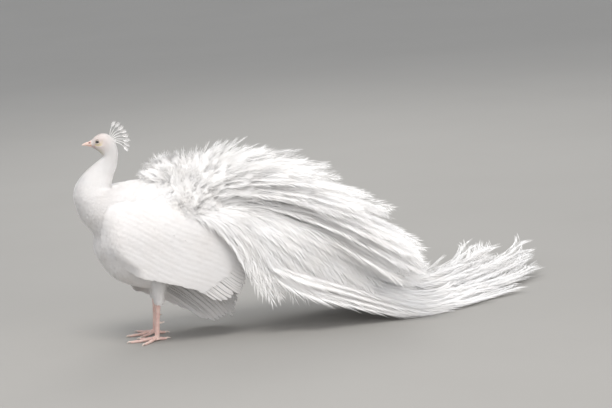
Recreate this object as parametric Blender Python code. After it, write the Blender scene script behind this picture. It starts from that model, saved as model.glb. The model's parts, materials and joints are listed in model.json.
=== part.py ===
"""A white peacock, life size, standing with its train half raised and both wings lowered.

Metres, +Z up. The bird faces -X, its left side is -Y, and the floor is Z = 0. It is modelled with
the floor point between its feet at X = 0, Y = 0, and moved at the end so that the origin lies under
the middle of its bounding box.
"""

import bmesh
import bpy
import random
from math import asin, cos, pi, radians, sin, sqrt
from mathutils import Matrix, Vector

# Gaps and thicknesses
GAP = 0.0003
VANE_THICK = 0.0009
CREST_SHAFT = 0.0010
SHINGLE_STEP = 0.0015

# Stations down the bird from the bill to the tail: dorsal point (x, z), ventral point (x, z), half width
STATIONS = {
    "bill_base": ((-0.1475, 0.6460), (-0.1470, 0.6235), 0.0095),
    "brow": ((-0.1340, 0.6575), (-0.1375, 0.6175), 0.0158),
    "crown": ((-0.1160, 0.6650), (-0.1255, 0.6080), 0.0205),
    "ear": ((-0.0950, 0.6610), (-0.1180, 0.5985), 0.0225),
    "nape": ((-0.0760, 0.6400), (-0.1165, 0.5915), 0.0215),
    "throat": ((-0.0675, 0.6050), (-0.1230, 0.5840), 0.0210),
    "neck_top": ((-0.0735, 0.5640), (-0.1460, 0.5690), 0.0240),
    "neck_mid": ((-0.0870, 0.5300), (-0.1740, 0.5490), 0.0310),
    "neck_low": ((-0.0945, 0.5090), (-0.1980, 0.5250), 0.0430),
    "crop_top": ((-0.0965, 0.4985), (-0.2120, 0.5000), 0.0560),
    "crop": ((-0.0880, 0.4960), (-0.2175, 0.4650), 0.0710),
    "breast_top": ((-0.0640, 0.4990), (-0.2030, 0.4080), 0.0880),
    "breast": ((-0.0240, 0.5040), (-0.1680, 0.3500), 0.1030),
    "keel": ((0.0150, 0.5050), (-0.1600, 0.2850), 0.1140),
    "belly": ((0.0600, 0.4980), (-0.1180, 0.2130), 0.1190),
    "thigh_line": ((0.1050, 0.4840), (-0.0450, 0.1720), 0.1170),
    "rump_front": ((0.1500, 0.4620), (0.0400, 0.1620), 0.1060),
    "rump": ((0.1930, 0.4310), (0.1180, 0.1900), 0.0880),
    "vent": ((0.2300, 0.3900), (0.1820, 0.2400), 0.0640),
    "tail_root": ((0.2560, 0.3480), (0.2280, 0.2860), 0.0380),
}
STATION_NAMES = list(STATIONS)
BODY_SQUARE = 2.25
BODY_SIDES = 20
BODY_STEP = 2 * pi / BODY_SIDES

# The pieces of the trunk: first and last station, and the number of rings
HEAD_END = STATION_NAMES.index("nape") + 0.5
NECK_END = STATION_NAMES.index("neck_top") + 0.5
CHEST_END = float(STATION_NAMES.index("breast_top"))
BREAST_END = float(STATION_NAMES.index("belly"))
TORSO_END = float(STATION_NAMES.index("thigh_line"))
FAN_END = STATION_NAMES.index("rump") + 0.5
RUMP_END = float(STATION_NAMES.index("tail_root"))
TRUNK = {
    "head": (0.0, HEAD_END, 11),
    "neck": (HEAD_END, NECK_END, 5),
    "neck_base": (NECK_END, CHEST_END, 8),
    "breast": (CHEST_END, BREAST_END, 6),
    "torso": (BREAST_END, TORSO_END, 3),
    "fan_base": (TORSO_END, FAN_END, 5),
    "rear_base": (FAN_END, RUMP_END, 4),
}
SIDE_STEPS = 7

# Head, turned a little to the bird's right
HEAD_TURN = radians(-12)
HEAD_PIVOT = (-0.0950, 0.0)
EYE_AT = (-0.1280, 0.0138, 0.6420)
EYE_RADIUS = 0.0072
LID_RING = 0.0054
LID_WIRE = 0.0013
MOUTH_CORNER = (-0.1315, 0.6208)
MOUTH_SLIT = (0.028, 0.060, 0.0007)
NOSTRIL_AT = (-0.1535, 0.0080, 0.6402)
NOSTRIL_SIZE = (0.0026, 0.0016, 0.0011)
BILL_TIP = (-0.1790, 0.6325)
CREST_ROOT = (-0.0880, 0.6480)
CREST_LENGTH = 0.054
CREST_COUNT = 22
CREST_HIGH, CREST_LOW = radians(84), radians(-42)

# Legs: the left one, with the right one set back a little
FOOT_SPREAD = 0.052
FOOT_SETBACK = 0.012
HOCK_AT = (0.0150, 0.1300)
HIP_AT = (0.0280, 0.2750)
ANKLE_HEIGHT = 0.0130
TOES = {"inner": (40, 0.060), "middle": (4, 0.082), "outer": (-46, 0.068), "hind": (168, 0.034)}
TOE_RADIUS = 0.0056
CLAW_LENGTH = 0.0135
SPUR_HEIGHT = 0.057
# Along each limb: share of its length, half depth, half width
THIGH_SIZES = (
    (0.0, 0.0125, 0.0110),
    (0.05, 0.0165, 0.0150),
    (0.25, 0.0200, 0.0185),
    (0.5, 0.0270, 0.0250),
    (0.75, 0.0400, 0.0360),
    (1.0, 0.0520, 0.0400),
)
SHANK_SIZES = (
    (0.0, 0.0085, 0.0078),
    (0.05, 0.0098, 0.0086),
    (0.13, 0.0082, 0.0074),
    (0.3, 0.0070, 0.0060),
    (0.6, 0.0066, 0.0056),
    (0.85, 0.0072, 0.0064),
    (1.0, 0.0078, 0.0072),
)
SPUR_SIZES = ((0.002, 0.0042), (0.010, 0.0035), (0.018, 0.0021), (0.0235, 0.0006))

# Wings: the flank that they lie on, the rim of the folded arm, and the tiers of feathers
FLANK_CENTRE = (0.050, 0.330)
FLANK_LENGTH = 0.360
FLANK_ABOVE, FLANK_BELOW = 0.180, 0.470
FLANK_HALF_WIDTH = 0.148
WING_PAD = 0.010
SHOULDER = (-0.080, 0.440)
FAR_WING_DROP = 0.104
WING_FOLD = 0.255
WING_CENTRE = (0.000, 0.370)
WING_RIM = (
    (-0.096, 0.440),
    (-0.104, 0.385),
    (-0.086, 0.325),
    (-0.040, 0.275),
    (0.020, 0.240),
    (0.070, 0.262),
    (0.095, 0.330),
    (0.105, 0.400),
    (0.085, 0.450),
    (0.020, 0.466),
    (-0.050, 0.466),
)
# Each tier: count, points, height of its tips over the flank, root line and tip line from low to high
WING_TIERS = {
    "primary": (5, 4, 0.0000, ((-0.004, 0.258), (0.012, 0.276), (0.030, 0.300)),
                ((0.178, 0.128), (0.222, 0.118), (0.250, 0.124))),
    "secondary": (9, 4, 0.0045, ((0.034, 0.310), (0.052, 0.360), (0.075, 0.420)),
                  ((0.268, 0.132), (0.292, 0.205), (0.240, 0.342))),
    "greater": (7, 3, 0.0110, ((-0.006, 0.272), (0.012, 0.350), (0.045, 0.430)),
                ((0.118, 0.190), (0.175, 0.250), (0.185, 0.385))),
    "median": (6, 3, 0.0160, ((-0.050, 0.300), (-0.030, 0.360), (0.000, 0.440)),
               ((0.045, 0.228), (0.100, 0.300), (0.125, 0.415))),
    "lesser": (5, 3, 0.0200, ((-0.080, 0.335), (-0.072, 0.385), (-0.050, 0.445)),
               ((-0.020, 0.268), (0.030, 0.340), (0.060, 0.440))),
}
WING_LEAN = 0.03

# Train: the point that the raised feathers spread from
TRAIN_CENTRE = Vector((0.130, 0.0, 0.446))
TRAIN_SEED = 7
# Each row from the front: length, lift at the top and at the sides and splay in degrees, count a side
FAN_ROWS = (
    (0.165, 150, 108, 44, 3),
    (0.152, 122, 68, 52, 3),
    (0.146, 92, 38, 56, 4),
    (0.180, 62, 10, 54, 4),
    (0.260, 35, -10, 48, 5),
    (0.345, 18, -20, 41, 5),
    (0.450, 5, -25, 35, 5),
    (0.560, -6, -27, 30, 5),
    (0.670, -15, -28, 26, 5),
    (0.775, -21, -28, 22, 4),
)
FAN_FIRST = (0.62, 0.44)
ROOT_DEPTH = 0.011
FAN_CLOCK = radians(92)
FAN_ROOT_ARC = radians(58)
FAN_WIDTH = 0.048
# The farthest tip of the trailing part, and what the tips at its near and far side differ by
TRAIN_END = Vector((1.500, 0.580, 0.034))
TRAIN_END_NEAR = Vector((-0.200, -0.440, -0.026))
TRAIN_END_FAR = Vector((-0.330, -0.060, 0.010))
LONG_ROWS = 3
LONG_ACROSS = 9
LONG_ROOT_ARC = radians(84)
LONG_WIDTH = 0.043
LONG_POINTS = 7
LAYER_STEP = 0.0065
FLOOR_TRIM = 0.0001
TAIL_COUNT = 12
TAIL_LENGTH = 0.34


def clear_scene():
    """Empties the scene, so that the file can be run again."""
    for obj in list(bpy.data.objects):
        bpy.data.objects.remove(obj)


def make_material(name, colour, roughness):
    """A plain Principled material."""
    made = bpy.data.materials.new(name)
    made.use_nodes = True
    shader = made.node_tree.nodes["Principled BSDF"]
    shader.inputs["Base Color"].default_value = (*colour, 1.0)
    shader.inputs["Roughness"].default_value = roughness
    return made


def make_mesh(name, points, faces, material):
    """An object from points and faces, with its faces turned outwards."""
    mesh = bpy.data.meshes.new(name)
    mesh.from_pydata([tuple(p) for p in points], [], faces)
    work = bmesh.new()
    work.from_mesh(mesh)
    bmesh.ops.recalc_face_normals(work, faces=work.faces)
    work.to_mesh(mesh)
    work.free()
    mesh.materials.append(material)
    made = bpy.data.objects.new(name, mesh)
    bpy.context.scene.collection.objects.link(made)
    return made


def split_quad(points, corners):
    """Two triangles, or one where corners coincide, parted along the shorter diagonal."""
    corners = list(dict.fromkeys(corners))
    if len(corners) == 3:
        return [corners]
    a, b, c, d = corners
    if (points[a] - points[c]).length < (points[b] - points[d]).length:
        return [(a, b, c), (a, c, d)]
    return [(a, b, d), (b, c, d)]


def loft(name, rings, material):
    """A closed skin over rings of equal count, with flat ends; a ring of one point ends in a tip."""
    points, starts, faces = [], [], []
    for ring in rings:
        starts.append(len(points))
        points += ring
    for a, b in zip(range(len(rings) - 1), range(1, len(rings))):
        count_a, count_b = len(rings[a]), len(rings[b])
        for k in range(max(count_a, count_b)):
            corners = [starts[a] + k % count_a, starts[a] + (k + 1) % count_a]
            corners += [starts[b] + (k + 1) % count_b, starts[b] + k % count_b]
            faces += split_quad(points, corners)
    for end in (0, len(rings) - 1):
        if len(rings[end]) > 1:
            faces.append([starts[end] + k for k in range(len(rings[end]))])
    return make_mesh(name, points, faces, material)


def keep_largest(obj):
    """Drops every closed surface of the mesh but the one with the most volume."""
    work = bmesh.new()
    work.from_mesh(obj.data)
    left, groups = set(work.faces), []
    while left:
        stack, group = [left.pop()], []
        while stack:
            face = stack.pop()
            group.append(face)
            for edge in face.edges:
                for other in edge.link_faces:
                    if other in left:
                        left.discard(other)
                        stack.append(other)
        groups.append(group)

    def volume(group):
        return sum(f.calc_center_median().dot(f.normal) * f.calc_area() for f in group)

    groups.sort(key=volume)
    dropped = [f for group in groups[:-1] for f in group]
    bmesh.ops.delete(work, geom=dropped, context="FACES")
    work.to_mesh(obj.data)
    work.free()


def boolean(obj, others, operation):
    """Joins others to obj, or cuts them from it, and removes them."""
    group = bpy.data.collections.new("pieces")
    bpy.context.scene.collection.children.link(group)
    for other in others:
        for holder in list(other.users_collection):
            holder.objects.unlink(other)
        group.objects.link(other)
    modifier = obj.modifiers.new("join", "BOOLEAN")
    modifier.operation = operation
    modifier.operand_type = "COLLECTION"
    modifier.collection = group
    modifier.solver = "MANIFOLD"
    bpy.context.view_layer.objects.active = obj
    bpy.context.view_layer.update()
    bpy.ops.object.modifier_apply(modifier=modifier.name)
    for other in others:
        bpy.data.objects.remove(other)
    bpy.data.collections.remove(group)
    keep_largest(obj)
    return obj


def join(obj, others):
    return boolean(obj, others, "UNION")


def cut(obj, others):
    return boolean(obj, others, "DIFFERENCE")


def spline(values, u):
    """A smooth curve through the values, read at u, which counts them from 0."""
    last = len(values) - 1
    i = max(0, min(last - 1, int(u)))
    t = u - i
    a, b = values[i], values[i + 1]
    before, after = values[max(0, i - 1)], values[min(last, i + 2)]
    smooth = a * (2 * t**3 - 3 * t**2 + 1) + b * (3 * t**2 - 2 * t**3)
    return smooth + (b - before) * 0.5 * (t**3 - 2 * t**2 + t) + (after - a) * 0.5 * (t**3 - t**2)


def along(points, t):
    """A smooth curve through the points, t from 0 to 1."""
    return spline(points, t * (len(points) - 1))


DORSAL = [Vector((s[0][0], 0.0, s[0][1])) for s in STATIONS.values()]
VENTRAL = [Vector((s[1][0], 0.0, s[1][1])) for s in STATIONS.values()]
HALF_WIDTH = [s[2] for s in STATIONS.values()]


def station(name):
    return float(STATION_NAMES.index(name))


def head_turn(point, share=1.0):
    """The point turned with the head about an upright axis, by a share of the whole turn."""
    pivot = Vector((HEAD_PIVOT[0], HEAD_PIVOT[1], 0.0))
    return pivot + Matrix.Rotation(HEAD_TURN * share, 3, "Z") @ (point - pivot)


def turn_share(u):
    """How far the body at station u follows the head's turn."""
    left = max(0.0, min(1.0, (station("neck_low") - u) / (station("neck_low") - HEAD_END)))
    return left * left * (3 - 2 * left)


def body_point(u, angle, grow=0.0):
    """A point of the body at station u; angle 0 is dorsal and a quarter turn is the left side."""
    dorsal, ventral, half = spline(DORSAL, u), spline(VENTRAL, u), spline(HALF_WIDTH, u)
    middle, up = (dorsal + ventral) / 2, dorsal - ventral
    tall = up.length / 2 + grow
    up.normalize()
    c, s = cos(angle), sin(angle)
    power = 2 / BODY_SQUARE
    rise = abs(c) ** power * (1 if c > 0 else -1)
    out = abs(s) ** power * (1 if s > 0 else -1)
    at = middle + up * tall * rise + Vector((0.0, -(half + grow) * out, 0.0))
    share = turn_share(u)
    return head_turn(at, share) if share > 0 else at


def body_normal(u, angle):
    """The outward normal of the body there."""
    step = 0.02
    u = min(max(u, step), len(STATION_NAMES) - 1 - step)
    forward = body_point(u + step, angle) - body_point(u - step, angle)
    around = body_point(u, angle + step) - body_point(u, angle - step)
    normal = around.cross(forward).normalized()
    middle = (spline(DORSAL, u) + spline(VENTRAL, u)) / 2
    return normal if normal.dot(body_point(u, angle) - middle) > 0 else -normal


def ring_normal(u):
    """The direction from head to tail that station u's plane faces."""
    up = (spline(DORSAL, u) - spline(VENTRAL, u)).normalized()
    share = turn_share(u)
    normal = Vector((up.z, 0.0, -up.x))
    return Matrix.Rotation(HEAD_TURN * share, 3, "Z") @ normal


def ring_places(piece):
    """The stations of a trunk piece's rings, with the shift that leaves half a gap at each end."""
    start, end, rings = TRUNK[piece]
    for k in range(rings):
        shift = GAP / 2 if k == 0 else (-GAP / 2 if k == rings - 1 else 0.0)
        u = start + (end - start) * k / (rings - 1)
        yield u, ring_normal(u) * shift


def trunk_piece(name, material, grow=0.0):
    """A whole slice of the body."""
    rings = []
    for u, shift in ring_places(name):
        rings.append([body_point(u, BODY_STEP * j, grow) + shift for j in range(BODY_SIDES)])
    return loft(name, rings, material)


def trunk_wedge(name, piece, first, last, material):
    """The part of a slice between two of its sides, from its middle line out, set off from the rest."""
    low, high = first * BODY_STEP, last * BODY_STEP
    bisector = Vector((0.0, -sin((low + high) / 2), cos((low + high) / 2)))
    away = bisector * GAP / 2 / sin((high - low) / 2)
    rings = []
    for u, shift in ring_places(piece):
        middle = (spline(DORSAL, u) + spline(VENTRAL, u)) / 2
        arc = [body_point(u, BODY_STEP * j) for j in range(first, last + 1)]
        rings.append([p + shift + away for p in [middle, *arc]])
    return loft(name, rings, material)


def body_clearance(paint, first="neck_base"):
    """The body from a piece back to the tail, larger by the gap, for cutting what lies on it."""
    rings = []
    names = list(TRUNK)
    for name in names[names.index(first):]:
        for u, _ in ring_places(name):
            if not rings or u > rings[-1][0]:
                rings.append((u, [body_point(u, BODY_STEP * j, GAP) for j in range(BODY_SIDES)]))
    return loft("clearance", [ring for _, ring in rings], paint["plumage"])


def ellipsoid(name, at, radii, material, segments=10, rings=7):
    bpy.ops.mesh.primitive_uv_sphere_add(segments=segments, ring_count=rings, radius=1.0, location=at)
    made = bpy.context.object
    made.name = name
    made.data.name = name
    made.scale = radii
    bpy.ops.object.transform_apply(location=True, rotation=True, scale=True)
    made.data.materials.append(material)
    return made


def block(at, size, tilt=0.0):
    """A plain box for cutting, its length tilted in the XZ plane."""
    bpy.ops.mesh.primitive_cube_add(size=1.0, location=at)
    made = bpy.context.object
    made.scale = size
    made.rotation_euler = (0.0, tilt, 0.0)
    bpy.ops.object.transform_apply(location=True, rotation=True, scale=True)
    return made


def vane(path, normals, widths, material, thick=VANE_THICK):
    """A feather as a thin closed strip: a path, the way its upper face looks, and its widths."""
    points = []
    for k, (at, face, width) in enumerate(zip(path, normals, widths)):
        before, after = path[max(0, k - 1)], path[min(len(path) - 1, k + 1)]
        forward = (after - before).normalized()
        side = forward.cross(face).normalized()
        up = side.cross(forward).normalized()
        across, rise = side * width / 2, up * thick / 2
        points += [at - across - rise, at + across - rise, at + across + rise, at - across + rise]
    faces = [(3, 2, 1), (3, 1, 0)]
    for k in range(len(path) - 1):
        a, b = 4 * k, 4 * k + 4
        faces += [(a, a + 1, b + 1), (a, b + 1, b)]
        faces += [(a + 3, b + 2, a + 2), (a + 3, b + 3, b + 2)]
        faces += [(a + 1, a + 2, b + 2), (a + 1, b + 2, b + 1)]
        faces += [(a + 3, a, b), (a + 3, b, b + 3)]
    a = 4 * (len(path) - 1)
    faces += [(a, a + 1, a + 2), (a, a + 2, a + 3)]
    return make_mesh("vane", points, faces, material)


def feather_widths(count, quill, widest, peak, tip):
    """Widths along a feather: a narrow quill, the widest place at peak, and a rounded tip."""
    made = []
    for k in range(count):
        t = k / (count - 1)
        if t < peak:
            made.append(quill + (widest - quill) * sin(pi / 2 * t / peak))
        else:
            made.append(tip + (widest - tip) * sqrt(max(0.0, 1 - ((t - peak) / (1 - peak)) ** 2)))
    return made


def turn_object(obj):
    """Turns a piece of the head with it."""
    for vertex in obj.data.vertices:
        vertex.co = head_turn(vertex.co)
    return obj


def make_lid(side, material):
    """The ring of bare lid round an eye."""
    x, y, z = EYE_AT
    bpy.ops.mesh.primitive_torus_add(
        location=(x, side * (y + 0.0054), z),
        rotation=(pi / 2 + side * radians(6), 0, side * radians(14)),
        major_radius=LID_RING,
        minor_radius=LID_WIRE,
        major_segments=12,
        minor_segments=3,
    )
    made = bpy.context.object
    bpy.ops.object.transform_apply(location=True, rotation=True, scale=True)
    made.data.materials.append(material)
    return turn_object(made)


def make_head(paint, chance):
    """The head with its crest, its lids and the line of the mouth, open where the eyes sit."""
    head = trunk_piece("head", paint["plumage"])
    x, y, z = EYE_AT
    lids, sockets = [], []
    for side in (-1, 1):
        lids.append(make_lid(side, paint["plumage"]))
        socket = ellipsoid("socket", (x, side * y, z), (EYE_RADIUS + GAP,) * 3, paint["plumage"])
        sockets.append(turn_object(socket))
    middle = (MOUTH_CORNER[0] - 0.012, 0.0, MOUTH_CORNER[1] + 0.0036)
    mouth = turn_object(block(middle, MOUTH_SLIT, radians(17)))
    join(head, lids + make_crest(paint, chance))
    cut(head, [*sockets, mouth])
    for side, word in ((-1, "left"), (1, "right")):
        turn_object(ellipsoid(f"eye_{word}", (x, side * y, z), (EYE_RADIUS,) * 3, paint["eye"]))
    return head


def make_crest(paint, chance):
    """A fan of bare shafts that end in small flags, rooted in the hind crown."""
    root = Vector((CREST_ROOT[0], 0.0, CREST_ROOT[1]))
    feathers = []
    for k in range(CREST_COUNT):
        angle = CREST_LOW + (CREST_HIGH - CREST_LOW) * k / (CREST_COUNT - 1)
        stagger = sin(2.4 * k)
        way = Vector((cos(angle), 0.10 * stagger + chance.uniform(-0.04, 0.04), sin(angle))).normalized()
        start = root + Vector((-0.006 * sin(angle), 0.0075 * stagger, 0.008 * sin(angle) - 0.003))
        length = CREST_LENGTH * chance.uniform(0.93, 1.05)
        bend = Vector((-sin(angle), 0.0, cos(angle))) * 0.004
        path = [start + way * length * t + bend * sin(pi * t) for t in (0.0, 0.55, 0.80, 0.94, 1.06)]
        path = path[:1] + path[2:] if k % 2 else path
        face = Vector((0.25 * chance.uniform(-1, 1), 1.0, 0.0)).normalized()
        widths = [CREST_SHAFT, CREST_SHAFT, 0.0016, 0.0078, 0.0050][-len(path):]
        feather = vane(path, [face] * len(path), widths, paint["plumage"], CREST_SHAFT)
        feathers.append(turn_object(feather))
    return feathers


def bill_ring(t, upper, sides=8):
    """A section of the bill from its base, t = 0, to near its tip, above or below the mouth line."""
    base_top, base_low = DORSAL[0], VENTRAL[0]
    tip = Vector((BILL_TIP[0], 0.0, BILL_TIP[1]))
    mouth = base_low.lerp(base_top, 0.36).lerp(tip + Vector((0.002, 0.0, 0.0012)), t)
    mouth += Vector((0.0, 0.0, -0.0022 * t**3 + (GAP / 2 if upper else -GAP / 2)))
    arch = 0.0032 * sin(pi * t)
    if upper:
        far = base_top.lerp(tip, t) + Vector((0.0, 0.0, arch + 0.0012 * t))
    else:
        far = base_low.lerp(tip + Vector((0.004, 0.0, -0.0018)), t) - Vector((0.0, 0.0, 0.15 * arch))
    half = HALF_WIDTH[0] * (1 - 0.78 * t**0.8) * (1.0 if upper else 0.92)
    ring = []
    for k in range(sides + 1):
        a = pi * k / sides
        ring.append(mouth + Vector((0, -half * cos(a), 0)) + (far - mouth) * sin(a) ** 0.9)
    return ring


def make_bill(paint):
    """Both halves of the bill, parted at the mouth, with a nostril on each side of the upper one."""
    away = Vector((-GAP / 2, 0.0, 0.0))
    for word, upper, reach in (("upper", True, 0.97), ("lower", False, 0.86)):
        rings = [[p + away for p in bill_ring(reach * k / 6, upper)] for k in range(7)]
        bill = loft(f"bill_{word}", rings, paint["horn"])
        if upper:
            x, y, z = NOSTRIL_AT
            places = [(x, -y, z), (x, y, z)]
            cut(bill, [ellipsoid("pit", at, NOSTRIL_SIZE, paint["horn"], 8, 6) for at in places])
        turn_object(bill)


def limb(name, stops, material, sides=10, level_ends=False):
    """A round piece through stops of (point, half depth along the bird, half width across)."""
    rings = []
    for k, (at, deep, wide) in enumerate(stops):
        before, after = stops[max(0, k - 1)][0], stops[min(len(stops) - 1, k + 1)][0]
        forward = (after - before).normalized()
        fore = Vector((0, 1, 0)).cross(forward).normalized()
        across = forward.cross(fore)
        turns = [2 * pi * j / sides for j in range(sides)]
        ring = [at + fore * deep * cos(a) + across * wide * sin(a) for a in turns]
        if level_ends and k in (0, len(stops) - 1):
            ring = [Vector((p.x, p.y, at.z)) for p in ring]
        rings.append(ring)
    return loft(name, rings, material)


def toe(at, way, length, material, sides=6, steps=6):
    """A toe lying along the floor, with joints that swell a little."""
    side = Vector((-way.y, way.x, 0.0))
    rings = []
    for k in range(steps):
        t = k / (steps - 1)
        radius = TOE_RADIUS * (1.0 - 0.35 * t) * (1 + 0.09 * sin(5.5 * pi * t))
        middle = at + way * length * t + Vector((0, 0, radius * 0.80 + 0.006 * (1 - t) ** 3))
        turns = [2 * pi * (j + 0.5) / sides for j in range(sides)]
        rings.append([middle + side * radius * cos(a) + Vector((0, 0, radius * sin(a))) for a in turns])
    return loft("toe", rings, material)


def claw(name, base, way, material, sides=6, steps=4):
    """A curved claw whose tip comes down to the floor."""
    side = Vector((-way.y, way.x, 0.0))
    rings = []
    for k in range(steps):
        t = k / steps
        radius = 0.0032 * (1 - t)
        height = 0.0040 + 0.0014 * sin(pi * t) - 0.0030 * t * t
        middle = base + way * (GAP + CLAW_LENGTH * t) + Vector((0, 0, height))
        turns = [2 * pi * j / sides for j in range(sides)]
        rings.append([middle + side * radius * 0.8 * cos(a) + Vector((0, 0, radius * sin(a))) for a in turns])
    rings.append([base + way * (GAP + CLAW_LENGTH) + Vector((0, 0, 0.0010))])
    return loft(name, rings, material)


def make_shank(side, word, hock, ankle, paint):
    """The bare scaled shank with its spur."""
    start, end = hock - Vector((0, 0, GAP)), ankle + Vector((0, 0, GAP))
    stops = [(start.lerp(end, t), deep, wide) for t, deep, wide in SHANK_SIZES]
    shank = limb(f"shank_{word}", stops, paint["leg"], level_ends=True)
    root = start.lerp(end, 1 - (SPUR_HEIGHT - ANKLE_HEIGHT) / (hock.z - ANKLE_HEIGHT))
    out = Vector((0.95, side * 0.18, 0.05)).normalized()
    join(shank, [limb("spur", [(root + out * d, r, r) for d, r in SPUR_SIZES], paint["leg"], 6)])


def make_foot(side, word, foot, ankle, paint):
    """The foot with its four toes, flat on the floor, and the claws."""
    middle, sizes = foot + Vector((0, 0, 0.0075)), (0.0125, 0.0115, 0.0082)
    palm = ellipsoid(f"foot_{word}", middle, sizes, paint["leg"], 8, 6)
    pad = [(ankle, 0.0078, 0.0072), (foot + Vector((0, 0, 0.004)), 0.0095, 0.009)]
    pieces = [limb("pad", pad, paint["leg"])]
    for toe_word, (degrees, length) in TOES.items():
        heading = radians(degrees) * side
        way = Vector((-cos(heading), -sin(heading), 0.0))
        pieces.append(toe(foot, way, length, paint["leg"]))
        claw(f"claw_{word}_{toe_word}", foot + way * length, way, paint["horn"])
    join(palm, pieces)
    floor = block((foot.x, foot.y, -0.05), (0.4, 0.4, 0.1))
    above = block(ankle + Vector((0, 0, 0.05)), (0.03, 0.03, 0.1))
    cut(palm, [floor, above])


def make_leg(side, word, paint):
    """Thigh, shank and foot."""
    back = 0.0 if side < 0 else FOOT_SETBACK
    foot = Vector((back, side * FOOT_SPREAD, 0.0))
    hock = Vector((HOCK_AT[0] + back * 0.6, side * (FOOT_SPREAD + 0.003), HOCK_AT[1]))
    hip = Vector((HIP_AT[0], side * (FOOT_SPREAD + 0.012), HIP_AT[1]))
    ankle = foot + Vector((0.002, 0, ANKLE_HEIGHT))
    stops = [(hock.lerp(hip, t), deep, wide) for t, deep, wide in THIGH_SIZES]
    thigh = limb(f"thigh_{word}", stops, paint["plumage"], 12, True)
    cut(thigh, [body_clearance(paint)])
    make_shank(side, word, hock, ankle, paint)
    make_foot(side, word, foot, ankle, paint)


def flank(x, z, out):
    """A point of the surface that a lowered wing lies on, on the left side, moved out by a distance."""
    above = FLANK_ABOVE if z > FLANK_CENTRE[1] else FLANK_BELOW
    left = 1 - ((x - FLANK_CENTRE[0]) / FLANK_LENGTH) ** 2 - ((z - FLANK_CENTRE[1]) / above) ** 2
    return Vector((x, -FLANK_HALF_WIDTH * sqrt(max(0.06, left)) - out, z))


def flank_normal(x, z):
    step = 0.002
    forward = flank(x + step, z, 0) - flank(x - step, z, 0)
    rise = flank(x, z + step, 0) - flank(x, z - step, 0)
    return forward.cross(rise).normalized()


def plan_line(line, t):
    return along([Vector((x, 0.0, z)) for x, z in line], t)


def line_spacing(line, t, count, way, lower):
    """The room across between neighbouring feathers that start or end on a line."""
    low, high = max(0.0, t - 0.5 / (count - 1)), min(1.0, t + 0.5 / (count - 1))
    step = (lower(plan_line(line, high)) - lower(plan_line(line, low))) / ((high - low) * (count - 1))
    return (step - way * step.dot(way)).length


def wing_feather(tier, t, lower, paint):
    """One feather of a tier at the share t of its height, tilted to lie over the one below."""
    count, points, lift, roots, tips = tier
    root, tip = lower(plan_line(roots, t)), lower(plan_line(tips, t))
    way = (tip - root).normalized()
    root_gap = line_spacing(roots, t, count, way, lower)
    tip_gap = line_spacing(tips, t, count, way, lower)
    path, normals, widths = [], [], []
    for k in range(points):
        s = k / (points - 1)
        bow = (tip - root).length * 0.05 * sin(pi * s)
        at = root.lerp(tip, s) + Vector((0.0, 0.0, bow))
        sunk = WING_PAD * 0.45
        path.append(flank(at.x, at.z, sunk + (lift - sunk) * s**0.7))
        spacing = root_gap + (tip_gap - root_gap) * s
        face = flank_normal(at.x, at.z)
        side = way.cross(face).normalized()
        lean = asin(min(0.30, SHINGLE_STEP / spacing)) + WING_LEAN
        normals.append(face * cos(lean) - side * sin(lean))
        widths.append(max(0.010, spacing * 1.26) * (0.6 + 0.4 * min(1.0, 4 * s) - 0.35 * max(0.0, 3 * s - 2)))
    return vane(path, normals, widths, paint["plumage"])


def wing_core(name, paint, lower):
    """The folded arm under the feathers, a lens that follows the flank."""
    around, shares = 20, (0.4, 0.75, 1.0)
    middle = Vector((WING_CENTRE[0], 0.0, WING_CENTRE[1]))
    rim = [Vector((x, 0.0, z)) for x, z in WING_RIM]
    edge = []
    for k in range(around):
        u = k / around * len(rim)
        i = int(u)
        edge.append(spline([rim[(i + n) % len(rim)] for n in (-1, 0, 1, 2)], 1 + u - i))

    def place(k, share, outer):
        at = lower(middle.lerp(edge[k], share))
        swell = WING_PAD * sqrt(1 - share**3) if outer else -0.030 * sqrt(1 - share**4)
        return flank(at.x, at.z, swell - 0.002)

    rings = [[place(0, 0.0, True)]]
    rings += [[place(k, share, True) for k in range(around)] for share in shares]
    rings += [[place(k, share, False) for k in range(around)] for share in (0.75, 0.4)]
    rings.append([place(0, 0.0, False)])
    return loft(name, rings, paint["plumage"])


def make_wing(side, word, paint, drop):
    """A lowered wing: the folded arm with its tiers of feathers, clear of the body."""

    def lower(at):
        share = max(0.0, min(1.0, (SHOULDER[1] - at.z) / (SHOULDER[1] - WING_FOLD)))
        return at - Vector((0.0, 0.0, drop * share))

    core = wing_core(f"wing_{word}", paint, lower)
    feathers = []
    for tier in WING_TIERS.values():
        for k in range(tier[0]):
            feathers.append(wing_feather(tier, k / (tier[0] - 1), lower, paint))
    join(core, feathers)
    if side > 0:
        core.data.transform(Matrix.Scale(-1, 4, Vector((0, 1, 0))))
        core.data.flip_normals()
    cut(core, [body_clearance(paint)])
    return core


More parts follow.
